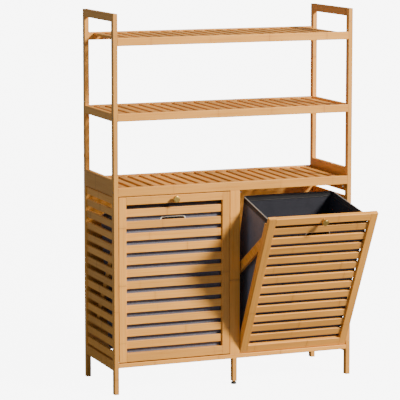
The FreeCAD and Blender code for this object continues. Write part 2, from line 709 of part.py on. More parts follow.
def door_brace():
    """A flat bar from the batten down to the rear, with both ends cut upright."""
    top = f"{DOOR_FACE_TOP} - brace_top_drop"
    run = f"(brace_reach - {BATTEN_BACK})"
    lift = f"(brace_fall * brace_housing / {run})"
    body = DOC.addObject("PartDesign::Body", "hamper_brace")
    sketch = add_sketch(body, "YZ_Plane")
    polygon(sketch, [
        (f"{BATTEN_BACK} - brace_housing", f"{top} + {lift}"),
        (f"{BATTEN_BACK} - brace_housing", f"{top} + {lift} - brace_end_height"),
        ("brace_reach", f"{top} - brace_fall - brace_end_height"),
        ("brace_reach", f"{top} - brace_fall"),
    ])
    pad(body, sketch, "brace_thickness")
    put(body, f"brace_inset - {DOOR_WIDTH} / 2")
    return body


def crossbar():
    """The bar between the two braces, let into both of them."""
    run = f"(brace_reach - {BATTEN_BACK})"
    shared_top = f"{DOOR_FACE_TOP} - brace_top_drop - brace_fall"
    shared_base = f"{shared_top} - brace_end_height + brace_fall * crossbar_depth / {run}"
    middle = f"(({shared_top} + {shared_base}) / 2)"
    return stick("hamper_crossbar", "x",
                 inset(centred(DOOR_WIDTH), "brace_inset + brace_thickness / 2"),
                 ("brace_reach - crossbar_depth", "crossbar_depth"),
                 (f"{middle} - crossbar_height / 2", "crossbar_height"))


def knob(screw):
    """A round knob whose neck stands on the top rail of the door."""
    body = turned("hamper_knob_blank", [
        ("0", "0"),
        ("knob_base_radius", "0"),
        ("knob_base_radius", "knob_base_reach"),
        ("knob_neck_radius", "knob_neck_start"),
        ("knob_neck_radius", "knob_neck_end"),
        ("knob_radius - knob_edge_inset", "knob_widest_reach - knob_edge_reach"),
        ("knob_radius", "knob_widest_reach"),
        ("knob_radius - knob_edge_inset", "knob_widest_reach + knob_edge_reach"),
        ("knob_face_radius", "knob_length"),
        ("0", "knob_length"),
    ])
    put(body, "0", "-pivot_setback", f"{DOOR_FACE_TOP} - door_top_rail_height / 2",
        turn=(FreeCAD.Vector(1, 0, 0), "90"))
    return cut("hamper_knob", body, [screw])


def catch_plate():
    return rod("hamper_plate", "y", "catch_plate_radius",
               f"{DOOR_WIDTH} / 2 - catch_inset - catch_width / 2", f"{DOOR_BACK} - catch_plate_thickness",
               f"{DOOR_FACE_TOP} - catch_magnet_drop", "catch_plate_thickness")


def slant_sides(body, margin):
    """Take a wedge off each side of the body, so that it narrows towards the rear."""
    near, width = f"{LINER_FRONT} + {margin}", f"{LINER_WIDTH} - 2 * ({margin})"
    deep = f"(liner_rim_depth - 2 * ({margin}))"
    taper = f"liner_taper * {deep} / liner_rim_depth"
    for side, edge, inner in (("left", "0", taper), ("right", width, f"{width} - {taper}")):
        sketch = add_sketch(body, "XY_Plane")
        polygon(sketch, [(edge, near), (edge, f"{near} + {deep}"), (inner, f"{near} + {deep}")])
        wedge = body.newObject("PartDesign::Pocket", f"{body.Name}_{side}_wedge")
        wedge.Profile = sketch
        wedge.Type = "ThroughAll"
        wedge.Reversed = True


def bag_block(name, margin, rise):
    """The liner's outline as a solid block, drawn in by a margin and carried up past the rim."""
    base = "(liner_base_rise - pivot_rise)"
    body = DOC.addObject("PartDesign::Body", name)
    sketch = add_sketch(body, "YZ_Plane")
    polygon(sketch, [
        (f"{LINER_FRONT} + {margin}", f"{base} + {margin}"),
        (f"{LINER_FRONT} + liner_base_depth - {margin}", f"{base} + {margin}"),
        (f"{LINER_FRONT} + liner_rim_depth - {margin}", f"{DOOR_FACE_TOP} - liner_rear_drop + {rise}"),
        (f"{LINER_FRONT} + {margin}", f"{DOOR_FACE_TOP} - liner_front_drop + {rise}"),
    ])
    pad(body, sketch, f"{LINER_WIDTH} - 2 * ({margin})")
    slant_sides(body, margin)
    put(body, f"{margin} - {LINER_WIDTH} / 2")
    middle = value(DOOR_FACE_TOP) / 2
    return soften(body, f"liner_corner - {margin}",
                  lambda edge: min(corner.Z for corner in edge.Vertexes) < middle)


def pull_grommet():
    """A ring around the hand-hole, and the block that cuts the hole for it."""
    width, height = centred("pull_hole_width"), down(f"{DOOR_FACE_TOP} - pull_hole_drop", "pull_hole_height")
    depth = (f"{LINER_FRONT} + (liner_wall - pull_depth) / 2", "pull_depth")
    outside = stick("grommet_outside", "y", width, depth, height, rounding="pull_corner")
    inside = stick("grommet_inside", "y", inset(width, "pull_rim"), depth, inset(height, "pull_rim"),
                   rounding="pull_corner - pull_rim")
    return outside, cut("hamper_grommet", outside, [inside])


def liner(hole):
    outer = bag_block("liner_outer", "0", "0")
    inner = bag_block("liner_inner", "liner_wall", "liner_corner")
    return cut("hamper_liner", outer, [inner, hole])


def rim_wire():
    """A bent wire in the plane of the rim; both ends go forward into the door's top rail."""
    inward = "liner_wall / 2"
    width = f"({LINER_WIDTH} - 2 * {inward})"
    length = f"(liner_rim_depth / cos({RIM_SLOPE}) - {inward} + rim_wire_plug)"
    w, d, r = value(width), value(length), value("liner_corner")
    body = DOC.addObject("PartDesign::Body", "hamper_wire")
    path = add_sketch(body, "XY_Plane")
    path.addGeometry([
        line((0, 0), (0, d - r)),
        arc((r, d - r), r, 90, 180),
        line((r, d), (w - r, d)),
        arc((w - r, d - r), r, 0, 90),
        line((w, d - r), (w, 0)),
    ])
    for kind, *where in (
            ("Coincident", 0, 1, -1, 1), ("Tangent", 0, 2, 1, 2), ("Tangent", 1, 1, 2, 1),
            ("Horizontal", 2), ("Tangent", 2, 2, 3, 2), ("Tangent", 3, 1, 4, 1), ("Equal", 0, 4),
            ("Equal", 1, 3), ("PointOnObject", 4, 2, -1)):
        path.addConstraint(Sketcher.Constraint(kind, *where))
    size_constraint(path, width, "DistanceX", 0, 1, 4, 2)
    size_constraint(path, length, "DistanceY", 0, 1, 2, 1)
    size_constraint(path, "liner_corner", "Radius", 1)
    size_constraint(path, f"90 deg - {SIDE_SLANT}", "Angle", 0)
    section = add_sketch(body, "XZ_Plane")
    circle = Part.Circle(FreeCAD.Vector(), FreeCAD.Vector(0, 0, 1), value("rim_wire_radius"))
    section.addGeometry(circle)
    section.addConstraint(Sketcher.Constraint("Coincident", 0, 3, -1, 1))
    size_constraint(section, "rim_wire_radius", "Radius", 0)
    pipe = body.newObject("PartDesign::AdditivePipe", "hamper_wire_pipe")
    pipe.Profile = section
    pipe.Spine = (path, [])
    # The wire lies on the rim: its axis is its radius and a small space above the cloth's edge.
    above = f"((rim_wire_radius + moving_gap) / cos({RIM_SLOPE}))"
    put(body, f"-{width} / 2", f"{LINER_FRONT} - rim_wire_plug * cos({RIM_SLOPE})",
        f"{DOOR_FACE_TOP} - liner_front_drop + {above} + rim_wire_plug * sin({RIM_SLOPE})",
        turn=(FreeCAD.Vector(-1, 0, 0), RIM_SLOPE))
    bind(body, "Placement.Rotation.Angle", RIM_SLOPE)
    return body


def hamper():
    """Every piece of one door with its liner, by the name it has on either side."""
    top_rail, base_rail, slats = door_frame()
    knob_screw, batten_screws = door_screws()
    batten, brace, bar, plate, wire = door_battens(), door_brace(), crossbar(), catch_plate(), rim_wire()
    hole, grommet = pull_grommet()
    pin_room = rod("pin_room", "x", "pivot_pin_radius + running_gap", f"-{DOOR_WIDTH} / 2", "0", "0",
                   "pivot_pin_reach + door_side_gap")
    stile = stick("hamper_stile", "z", (f"-{DOOR_WIDTH} / 2", "door_stile_width"), DOOR_FRONT,
                  ("-pivot_rise", DOOR_HEIGHT))
    left_plate = mirror("hamper_plate_left", plate)
    stile = cut("hamper_stile_cut", stile,
                [top_rail, base_rail, slats, pin_room, left_plate, batten_screws, wire])
    return {
        "stiles": on_both_sides("hamper_stiles", stile),
        "top_rail": cut("hamper_top_bored", top_rail, [knob_screw, wire]),
        "bottom_rail": base_rail,
        "slats": slats,
        "knob": knob(knob_screw),
        "screws": group("hamper_screws", [knob_screw, batten_screws]),
        "battens": on_both_sides("hamper_battens",
                                 cut("hamper_batten_cut", batten, [brace, batten_screws])),
        "braces": on_both_sides("hamper_braces", cut("hamper_brace_cut", brace, [bar])),
        "crossbar": bar,
        "catch_plates": on_both_sides("hamper_plates", plate),
        "liner": liner(hole),
        "rim_wire": wire,
        "pull_grommet": grommet,
    }


# The left hamper is shut and the right one is tilted out.
TILT_AXIS = FreeCAD.Vector(1, 0, 0)
for part, item in hamper().items():
    for side, centre, tilt in (("left", f"-{DOOR_CENTRE}", "0"), ("right", DOOR_CENTRE, "door_tilt")):
        copy = put(group(f"{side}_hamper_{part}", [item]), centre, PIVOT_Y, PIVOT_Z, turn=(TILT_AXIS, tilt))
        bind(copy, "Placement.Rotation.Angle", f"{tilt} * 1 deg")
        keep(copy, f"{side}_door_{part}")


# ---- check everything, then write it

DOC.recompute()
FAILED = [item.Label for item in DOC.Objects if "Invalid" in item.State or "Error" in item.State]
FAILED += [item.Label for item in NODES if item.Shape.isNull() or not item.Shape.isValid()]
if FAILED:
    raise RuntimeError(f"these objects failed: {FAILED}")

os.makedirs("parts", exist_ok=True)
for item in NODES:
    item.Shape.exportStep(f"parts/{item.Label}.step")
    box = item.Shape.BoundBox
    print(f"{item.Label}: {len(item.Shape.Solids)} solids, {item.Shape.Volume:.0f} mm3,",
          f"x {box.XMin:.1f}..{box.XMax:.1f} y {box.YMin:.1f}..{box.YMax:.1f} z {box.ZMin:.1f}..{box.ZMax:.1f}")
print(f"{len(NODES)} nodes")
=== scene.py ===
import json
import math

import bmesh
import bpy
from mathutils import Matrix, Vector, noise


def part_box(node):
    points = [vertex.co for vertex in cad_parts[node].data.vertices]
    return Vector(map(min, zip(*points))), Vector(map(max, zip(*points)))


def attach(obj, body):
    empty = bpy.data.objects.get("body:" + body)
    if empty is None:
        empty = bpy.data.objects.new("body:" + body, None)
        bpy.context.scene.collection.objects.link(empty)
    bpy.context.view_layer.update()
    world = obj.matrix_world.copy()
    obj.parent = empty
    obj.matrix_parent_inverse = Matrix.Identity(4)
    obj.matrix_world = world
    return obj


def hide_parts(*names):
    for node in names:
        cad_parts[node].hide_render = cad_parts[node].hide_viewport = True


# A bamboo laundry cabinet with two tilt-out hampers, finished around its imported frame.
# Metres and degrees, +Z up, front towards -Y.

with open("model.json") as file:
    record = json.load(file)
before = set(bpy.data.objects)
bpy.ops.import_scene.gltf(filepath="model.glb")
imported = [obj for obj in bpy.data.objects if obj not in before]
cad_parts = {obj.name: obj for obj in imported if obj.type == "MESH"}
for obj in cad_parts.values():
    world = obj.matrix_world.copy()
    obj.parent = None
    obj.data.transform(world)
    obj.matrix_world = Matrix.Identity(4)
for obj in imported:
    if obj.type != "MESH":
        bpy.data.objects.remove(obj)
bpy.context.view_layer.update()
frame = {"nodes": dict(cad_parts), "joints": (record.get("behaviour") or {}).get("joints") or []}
NODES = frame["nodes"]
JOINTS = {joint["name"]: joint for joint in frame["joints"]}
HAMPER_SIDES = ("left", "right")


# ---------------------------------------------------------------- places

def door_space(side):
    """Takes a point from a door's own space, upright about its hinge axis, to the row frame."""
    joint = JOINTS[f"{side}_door_tilt"]
    stored_tilt = -joint["range_deg"][0]
    return Matrix.Translation(joint["pos_m"]) @ Matrix.Rotation(math.radians(stored_tilt), 4, "X")


DOOR_SPACE = {side: door_space(side) for side in HAMPER_SIDES}


def upright_box(node):
    """A node's box, in its door's own space where it is on a door: the left door stands upright."""
    for side in HAMPER_SIDES:
        if node.startswith(f"{side}_door_"):
            low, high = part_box(node.replace("right_door_", "left_door_"))
            hinge = DOOR_SPACE["left"].translation
            return Vector(low) - hinge, Vector(high) - hinge
    low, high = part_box(node)
    return Vector(low), Vector(high)


def to_upright(node):
    """Takes a point from the row frame to the space of upright_box."""
    for side in HAMPER_SIDES:
        if node.startswith(f"{side}_door_"):
            return DOOR_SPACE[side].inverted()
    return Matrix.Identity(4)


# ---------------------------------------------------------------- node trees

def node(tree, kind, inputs=None, **settings):
    """Adds a node with its settings, and links or sets its inputs."""
    made = tree.nodes.new(kind)
    for name, setting in settings.items():
        setattr(made, name, setting)
    for socket, source in (inputs or {}).items():
        if isinstance(source, bpy.types.NodeSocket):
            tree.links.new(source, made.inputs[socket])
        else:
            made.inputs[socket].default_value = source
    return made


def math_node(tree, operation, *values):
    return node(tree, "ShaderNodeMath", dict(enumerate(values)), operation=operation).outputs[0]


def ramp(tree, source, start, end, low=0.0, high=1.0):
    """Goes smoothly from low to high while source goes from start to end."""
    values = {"Value": source, "From Min": start, "From Max": end, "To Min": low, "To Max": high}
    return node(tree, "ShaderNodeMapRange", values, interpolation_type="SMOOTHSTEP").outputs[0]


def blend_color(tree, share, first, second, blend_type="MIX"):
    values = {0: share, 6: first, 7: second}
    return node(tree, "ShaderNodeMix", values, data_type="RGBA", blend_type=blend_type).outputs[2]


def stretched_noise(tree, place, stretch, detail=2.0, roughness=0.55):
    """Noise between 0 and 1 whose cells are 1 / stretch metres long along each axis."""
    scaled = node(tree, "ShaderNodeVectorMath", {0: place, 1: stretch}, operation="MULTIPLY").outputs[0]
    values = {"Vector": scaled, "Scale": 1.0, "Detail": detail, "Roughness": roughness}
    return node(tree, "ShaderNodeTexNoise", values).outputs[0]


def random_of(tree, x, y, z):
    """A random value and a random color for each whole-numbered cell."""
    cell = node(tree, "ShaderNodeCombineXYZ", {0: x, 1: y, 2: z}).outputs[0]
    made = node(tree, "ShaderNodeTexWhiteNoise", {"Vector": cell}, noise_dimensions="3D")
    return made.outputs["Value"], made.outputs["Color"]


def new_group(name, tree_type, inputs, outputs):
    """A node group with named sockets. Returns the tree, what it is given and what it gives."""
    tree = bpy.data.node_groups.new(name, tree_type)
    for label, kind, default in inputs:
        socket = tree.interface.new_socket(label, in_out="INPUT", socket_type=f"NodeSocket{kind}")
        if default is not None:
            socket.default_value = default
    for label, kind in outputs:
        tree.interface.new_socket(label, in_out="OUTPUT", socket_type=f"NodeSocket{kind}")
    given = tree.nodes.new("NodeGroupInput").outputs
    result = tree.nodes.new("NodeGroupOutput").inputs
    return tree, given, result


def bamboo_strip_group():
    """Bamboo strips glued side by side. Place runs along the grain in X, across a strip in Y, and
    through the strips in Z. Each strip has its own tone and its own culm nodes."""
    tree, given, result = new_group(
        "bamboo_strips", "ShaderNodeTree",
        [("Place", "Vector", None), ("Strip Width", "Float", 0.03), ("Strip Depth", "Float", 0.006),
         ("Culm Node Gap", "Float", 0.24), ("Batch", "Float", 0.0), ("Pale", "Color", None),
         ("Honey", "Color", None), ("Culm Node", "Color", None)],
        [("Color", "Color"), ("Roughness", "Float"), ("Height", "Float")])
    along, across, through = node(tree, "ShaderNodeSeparateXYZ", {0: given["Place"]}).outputs
    strip = math_node(tree, "DIVIDE", across, given["Strip Width"])
    layer = math_node(tree, "DIVIDE", through, given["Strip Depth"])
    strip_number = math_node(tree, "FLOOR", strip)
    layer_number = math_node(tree, "FLOOR", layer)
    offset, tones = random_of(tree, strip_number, layer_number, given["Batch"])
    tone, _, _ = node(tree, "ShaderNodeSeparateColor", {0: tones}).outputs

    wobble = stretched_noise(tree, given["Place"], (40, 160, 160), detail=1.0)
    wavy = math_node(tree, "MULTIPLY_ADD", wobble, 0.005, along)
    culm = math_node(tree, "ADD", math_node(tree, "DIVIDE", wavy, given["Culm Node Gap"]),
                     math_node(tree, "MULTIPLY", offset, 7.0))
    from_culm_node = math_node(tree, "MULTIPLY", given["Culm Node Gap"], math_node(
        tree, "ABSOLUTE", math_node(tree, "SUBTRACT", math_node(tree, "FRACT", culm), 0.5)))
    strength, _ = random_of(tree, math_node(tree, "FLOOR", culm), strip_number, layer_number)
    line = ramp(tree, from_culm_node, 0.0028, 0.0004)
    halo = ramp(tree, from_culm_node, 0.014, 0.001, high=0.26)
    mark = math_node(tree, "MULTIPLY", math_node(tree, "MAXIMUM", line, halo),
                     ramp(tree, strength, 0.1, 0.9, low=0.10, high=0.60))

    fibre = stretched_noise(tree, given["Place"], (16, 1500, 1500), detail=2.0)
    streak = stretched_noise(tree, given["Place"], (3.5, 240, 240), detail=3.0)
    cloud = stretched_noise(tree, given["Place"], (5, 14, 14), detail=1.0)
    depth = math_node(tree, "ADD", ramp(tree, streak, 0.3, 0.75, high=0.55),
                      ramp(tree, fibre, 0.35, 0.8, high=0.4))
    wood = blend_color(tree, depth, given["Pale"], given["Honey"])
    shade = math_node(tree, "MULTIPLY", ramp(tree, tone, 0.0, 1.0, low=0.82, high=1.06),
                      ramp(tree, cloud, 0.25, 0.75, low=0.93, high=1.05))
    shaded = node(tree, "ShaderNodeVectorMath", {0: wood, "Scale": shade}, operation="SCALE").outputs[0]
    marked = blend_color(tree, mark, shaded, given["Culm Node"])

    def glue_line(position, size):
        nearest = math_node(tree, "PINGPONG", position, 0.5)
        return ramp(tree, math_node(tree, "MULTIPLY", nearest, size), 0.0004, 0.00005, high=0.3)

    glue = math_node(tree, "MAXIMUM", glue_line(strip, given["Strip Width"]),
                     glue_line(layer, given["Strip Depth"]))
    glued = blend_color(tree, glue, marked, given["Culm Node"])
    tree.links.new(glued, result["Color"])
    tree.links.new(math_node(tree, "MULTIPLY_ADD", fibre, 0.16, math_node(
        tree, "MULTIPLY_ADD", mark, 0.12, 0.36)), result["Roughness"])
    height = math_node(tree, "SUBTRACT", math_node(tree, "MULTIPLY_ADD", mark, 1.2, fibre), math_node(
        tree, "MULTIPLY", glue, 2.0))
    tree.links.new(height, result["Height"])
    return tree


def eased_edge_group():
    """A normal that rounds sharp edges, and a mask of the edges that hands and cloths rub."""
    tree, given, result = new_group(
        "eased_edges", "ShaderNodeTree",
        [("Radius", "Float", 0.0012), ("Place", "Vector", None), ("Wear", "Float", 0.5)],
        [("Normal", "Vector"), ("Rubbed", "Float")])
    eased = node(tree, "ShaderNodeBevel", {"Radius": given["Radius"]}, samples=6).outputs[0]
    flat = tree.nodes.new("ShaderNodeNewGeometry").outputs["True Normal"]
    alike = node(tree, "ShaderNodeVectorMath", {0: eased, 1: flat}, operation="DOT_PRODUCT").outputs["Value"]
    edge = ramp(tree, alike, 0.995, 0.85)
    patches = stretched_noise(tree, given["Place"], (30, 30, 30), detail=2.0)
    rubbed = math_node(tree, "MULTIPLY", math_node(tree, "MULTIPLY", edge, given["Wear"]),
                       ramp(tree, patches, 0.35, 0.7))
    tree.links.new(eased, result["Normal"])
    tree.links.new(rubbed, result["Rubbed"])
    return tree


def woven_cloth_group():
    """Plain weave. Threads is the cloth's own flat measure in metres, in X and Y. The colour is darkened in
    the hollows between thread crowns as painted shade.
    """
    tree, given, result = new_group(
        "woven_cloth", "ShaderNodeTree",
        [("Threads", "Vector", None), ("Thread Pitch", "Float", 0.0009), ("Base", "Color", None),
         ("Slub", "Color", None)],
        [("Color", "Color"), ("Height", "Float"), ("Roughness", "Float")])
    across, along, _ = node(tree, "ShaderNodeSeparateXYZ", {0: given["Threads"]}).outputs
    warp = math_node(tree, "DIVIDE", across, given["Thread Pitch"])
    weft = math_node(tree, "DIVIDE", along, given["Thread Pitch"])
    warp_number = math_node(tree, "FLOOR", warp)
    weft_number = math_node(tree, "FLOOR", weft)
    over = math_node(tree, "FLOORED_MODULO", math_node(tree, "ADD", warp_number, weft_number), 2.0)

    def crown(position):
        across_thread = math_node(tree, "FRACT", position)
        return math_node(tree, "SINE", math_node(tree, "MULTIPLY", across_thread, math.pi))

    warp_crown = math_node(tree, "MULTIPLY", crown(warp), over)
    weft_crown = math_node(tree, "MULTIPLY", crown(weft), math_node(tree, "SUBTRACT", 1.0, over))
    height = math_node(tree, "ADD", warp_crown, weft_crown)
    warp_tone, _ = random_of(tree, warp_number, 0.0, 3.0)
    weft_tone, _ = random_of(tree, 0.0, weft_number, 5.0)
    thread_tone = math_node(tree, "ADD", math_node(tree, "MULTIPLY", warp_tone, over), math_node(
        tree, "MULTIPLY", weft_tone, math_node(tree, "SUBTRACT", 1.0, over)))
    cloud = stretched_noise(tree, given["Threads"], (9, 9, 9), detail=3.0)
    share = math_node(tree, "ADD", ramp(tree, thread_tone, 0.2, 1.0, high=0.6),
                      ramp(tree, cloud, 0.3, 0.8, high=0.35))
    dyed = blend_color(tree, share, given["Base"], given["Slub"])
    # Painted shade: the dyed colour is darkened down to 55 % in the low hollows between thread crowns.
    painted_hollow_shade = ramp(tree, height, 0.0, 0.7, low=0.55, high=1.0)
    woven = node(tree, "ShaderNodeVectorMath", {0: dyed, "Scale": painted_hollow_shade}, operation="SCALE").outputs[0]
    tree.links.new(woven, result["Color"])
    tree.links.new(height, result["Height"])
    tree.links.new(ramp(tree, height, 0.0, 1.0, low=0.95, high=0.78), result["Roughness"])
    return tree


def fine_finish_group():
    """The fine unevenness of moulded plastic, plating and paint: a mask and a height."""
    tree, given, result = new_group(
        "fine_finish", "ShaderNodeTree", [("Place", "Vector", None), ("Stretch", "Vector", None)],
        [("Mask", "Float"), ("Height", "Float")])
    values = {0: given["Place"], 1: given["Stretch"]}
    stretched = node(tree, "ShaderNodeVectorMath", values, operation="MULTIPLY").outputs[0]
    fine = node(tree, "ShaderNodeTexNoise", {"Vector": stretched, "Scale": 1.0, "Detail": 3.0}).outputs[0]
    broad = stretched_noise(tree, given["Place"], (45, 45, 45), detail=2.0)
    mask = math_node(tree, "MULTIPLY", broad, ramp(tree, fine, 0.2, 0.8, low=0.6, high=1.2))
    tree.links.new(mask, result["Mask"])
    tree.links.new(fine, result["Height"])
    return tree


BAMBOO_STRIPS = bamboo_strip_group()
EASED_EDGES = eased_edge_group()
WOVEN_CLOTH = woven_cloth_group()
FINE_FINISH = fine_finish_group()


# ---------------------------------------------------------------- materials

BAMBOO_PALE = (0.86, 0.42, 0.090, 1.0)
BAMBOO_HONEY = (0.68, 0.265, 0.036, 1.0)
BAMBOO_CULM_NODE = (0.36, 0.13, 0.025, 1.0)
BAMBOO_RUBBED = (0.88, 0.56, 0.24, 1.0)
STRIP_DEPTH = 0.006
FACE_MARGIN = 0.0008
SHORTEST_CULM = 0.22
CULM_STEP = 0.02
CULM_LENGTHS = 4


def new_material(name):
    made = bpy.data.materials.new(name)
    made.use_nodes = True
    return made, made.node_tree, made.node_tree.nodes["Principled BSDF"]


def group_in(tree, group, inputs):
    return node(tree, "ShaderNodeGroup", inputs, node_tree=group).outputs


def object_place(tree):
    return tree.nodes.new("ShaderNodeTexCoord").outputs["Object"]


def bump(tree, height, strength, distance, normal=None):
    inputs = {"Height": height, "Strength": strength, "Distance": distance}
    if normal is not None:
        inputs["Normal"] = normal
    return node(tree, "ShaderNodeBump", inputs).outputs[0]


def bamboo(cad_node, axes, rows=1, batch=0):
    """Bamboo for one node. axes names the grain, the breadth and the depth of its pieces, and rows
    is how many equal pieces lie side by side along the breadth."""
    made, tree, shader = new_material(f"bamboo_{cad_node}")
    low, high = upright_box(cad_node)
    grain, breadth, depth = ("xyz".index(axis) for axis in axes)
    row_size = PIECE_BREADTH.get(cad_node.split("_door_")[-1], high[breadth] - low[breadth])
    if rows > 1:
        pitch = (high[breadth] - low[breadth] - row_size) / (rows - 1)
        margin = (pitch - row_size) / 2
    else:
        pitch = high[breadth] - low[breadth] + 2 * FACE_MARGIN
        margin = FACE_MARGIN
    layers = max(1, round((high[depth] - low[depth]) / STRIP_DEPTH))
    origin = low.copy()
    origin[breadth] -= margin
    origin[depth] -= FACE_MARGIN
    upright = Matrix.Translation(-origin) @ to_upright(cad_node)
    mapping = node(tree, "ShaderNodeMapping", {"Vector": object_place(tree)}, vector_type="POINT")
    mapping.inputs["Location"].default_value = upright.translation
    mapping.inputs["Rotation"].default_value = upright.to_euler()
    parts = node(tree, "ShaderNodeSeparateXYZ", {0: mapping.outputs[0]}).outputs
    place = node(tree, "ShaderNodeCombineXYZ", {
        0: parts[grain], 1: parts[breadth], 2: parts[depth]}).outputs[0]
    strips = group_in(tree, BAMBOO_STRIPS, {
        "Place": place, "Strip Width": pitch, "Batch": float(batch),
        "Culm Node Gap": SHORTEST_CULM + CULM_STEP * (batch % CULM_LENGTHS),
        "Strip Depth": (high[depth] - low[depth] + 2 * FACE_MARGIN) / layers,
        "Pale": BAMBOO_PALE, "Honey": BAMBOO_HONEY, "Culm Node": BAMBOO_CULM_NODE})
    edges = group_in(tree, EASED_EDGES, {"Radius": 0.0014, "Place": place, "Wear": 0.5})
    color = blend_color(tree, edges["Rubbed"], strips["Color"], BAMBOO_RUBBED)
    tree.links.new(color, shader.inputs["Base Color"])
    tree.links.new(strips["Roughness"], shader.inputs["Roughness"])
    tree.links.new(bump(tree, strips["Height"], 0.35, 0.0002, edges["Normal"]), shader.inputs["Normal"])
    shader.inputs["Coat Weight"].default_value = 0.12
    shader.inputs["Coat Roughness"].default_value = 0.3
    return made


def cloth(name, base, slub, pitch, sheen):
    """Woven cloth that follows the piece's own flat measure."""
    made, tree, shader = new_material(name)
    threads = node(tree, "ShaderNodeUVMap", uv_map="flat_measure").outputs[0]
    weave = group_in(tree, WOVEN_CLOTH, {
        "Threads": threads, "Thread Pitch": pitch, "Base": base, "Slub": slub})
    tree.links.new(weave["Color"], shader.inputs["Base Color"])
    tree.links.new(weave["Roughness"], shader.inputs["Roughness"])
    tree.links.new(bump(tree, weave["Height"], 0.5, 0.0003), shader.inputs["Normal"])
    shader.inputs["Sheen Weight"].default_value = sheen
    shader.inputs["Sheen Roughness"].default_value = 0.5
    shader.inputs["Specular IOR Level"].default_value = 0.25
    return made


def hard_finish(name, color, worn_color, roughness, metallic=0.0, stretch=(900, 900, 900)):
    """Metal, paint or plastic with a fine grain and rubbed edges."""
    made, tree, shader = new_material(name)
    bump_height = 0.00004
    place = object_place(tree)
    fine = group_in(tree, FINE_FINISH, {"Place": place, "Stretch": stretch})
    edges = group_in(tree, EASED_EDGES, {"Radius": 0.0005, "Place": place, "Wear": 0.6})
    varied = blend_color(tree, math_node(tree, "MULTIPLY", fine["Mask"], 0.3), color, worn_color)
    tree.links.new(blend_color(tree, edges["Rubbed"], varied, worn_color), shader.inputs["Base Color"])
    rough = ramp(tree, fine["Mask"], 0.1, 0.9, low=roughness * 0.8, high=min(1.0, roughness * 1.25))
    tree.links.new(rough, shader.inputs["Roughness"])
    tree.links.new(bump(tree, fine["Height"], 0.4, bump_height, edges["Normal"]), shader.inputs["Normal"])
    shader.inputs["Metallic"].default_value = metallic
    return made


LINER_OUTSIDE = cloth("liner_charcoal_cloth", (0.120, 0.132, 0.20, 1), (0.20, 0.215, 0.31, 1), 0.0009, 0.15)
# The lining's navy hue is its own. It is kept several times darker than the outside cloth as painted shade
# for the inside of the bag.
LINER_INSIDE_PAINTED_SHADE = cloth("liner_navy_lining_painted_shade", (0.024, 0.026, 0.042, 1), (0.042, 0.045, 0.070, 1), 0.0006, 0.05)
LINER_HEM = cloth("liner_hem_tape", (0.035, 0.035, 0.045, 1), (0.06, 0.06, 0.075, 1), 0.0005, 0.05)
STITCH_THREAD = hard_finish(
    "stitch_thread", (0.16, 0.16, 0.18, 1), (0.3, 0.3, 0.32, 1), 0.7, stretch=(3000, 3000, 3000))
KNOB_BRASS = hard_finish(
    "knob_satin_brass", (0.62, 0.40, 0.11, 1), (0.85, 0.66, 0.27, 1), 0.36, 1.0, stretch=(400, 6000, 400))
WHITE_WIRE = hard_finish("coated_white_wire", (0.42, 0.43, 0.44, 1), (0.55, 0.56, 0.57, 1), 0.4)
WHITE_PLASTIC = hard_finish("moulded_white_plastic", (0.80, 0.81, 0.79, 1), (0.92, 0.92, 0.9, 1), 0.32)
BLACK_PLASTIC = hard_finish("moulded_black_plastic", (0.016, 0.016, 0.017, 1), (0.05, 0.05, 0.05, 1), 0.5)
ZINC_STEEL = hard_finish("zinc_plated_steel", (0.50, 0.50, 0.51, 1), (0.72, 0.71, 0.68, 1), 0.38, 1.0)
MAGNET_STEEL = hard_finish("nickel_magnet", (0.60, 0.58, 0.54, 1), (0.75, 0.74, 0.70, 1), 0.25, 1.0)

# Breadth of one piece in the nodes that hold several side by side.
PIECE_BREADTH = {
    "slats": 0.029,
    "stiles": 0.030,
    "battens": 0.018,
    "braces": 0.012,
    "top_shelf_slats": 0.028,
    "middle_shelf_slats": 0.028,
    "deck_slats": 0.028,
    "left_side_slats": 0.027,
    "right_side_slats": 0.027,
    "catch_blocks": 0.012,
    "stop_pegs": 0.014,
    "back_panel": 0.0535,
}

POST = ("zxy", 1)
SIDE_RAIL = ("yzx", 1)
FRONT_RAIL = ("xzy", 1)
SHELF_SLATS = ("yxz", 20)
SIDE_SLATS = ("yzx", 14)

FRAME_BAMBOO = {
    "left_front_post": POST, "right_front_post": POST, "left_rear_post": POST, "right_rear_post": POST,
    "left_top_rail": SIDE_RAIL, "right_top_rail": SIDE_RAIL,
    "left_middle_rail": SIDE_RAIL, "right_middle_rail": SIDE_RAIL,
    "deck_boards": ("yzx", 1), "back_panel": ("xzy", 12),
    "left_bottom_rail": SIDE_RAIL, "right_bottom_rail": SIDE_RAIL,
    "left_side_slats": SIDE_SLATS, "right_side_slats": SIDE_SLATS,
    "top_shelf_front_rail": FRONT_RAIL, "top_shelf_back_rail": FRONT_RAIL,
    "middle_shelf_front_rail": FRONT_RAIL, "middle_shelf_back_rail": FRONT_RAIL,
    "deck_front_rail": FRONT_RAIL, "deck_back_rail": FRONT_RAIL,
    "bottom_front_rail": FRONT_RAIL, "bottom_back_rail": FRONT_RAIL,
    "top_shelf_slats": SHELF_SLATS, "middle_shelf_slats": SHELF_SLATS, "deck_slats": SHELF_SLATS,
    "centre_stile": POST, "centre_leg": POST,
    "catch_blocks": ("zxy", 4), "stop_pegs": ("xzy", 1),
}
DOOR_BAMBOO = {
    "stiles": ("zxy", 2), "top_rail": FRONT_RAIL, "bottom_rail": FRONT_RAIL, "slats": ("xzy", 12),
    "battens": ("zxy", 2), "braces": ("yxz", 2), "crossbar": FRONT_RAIL,
}


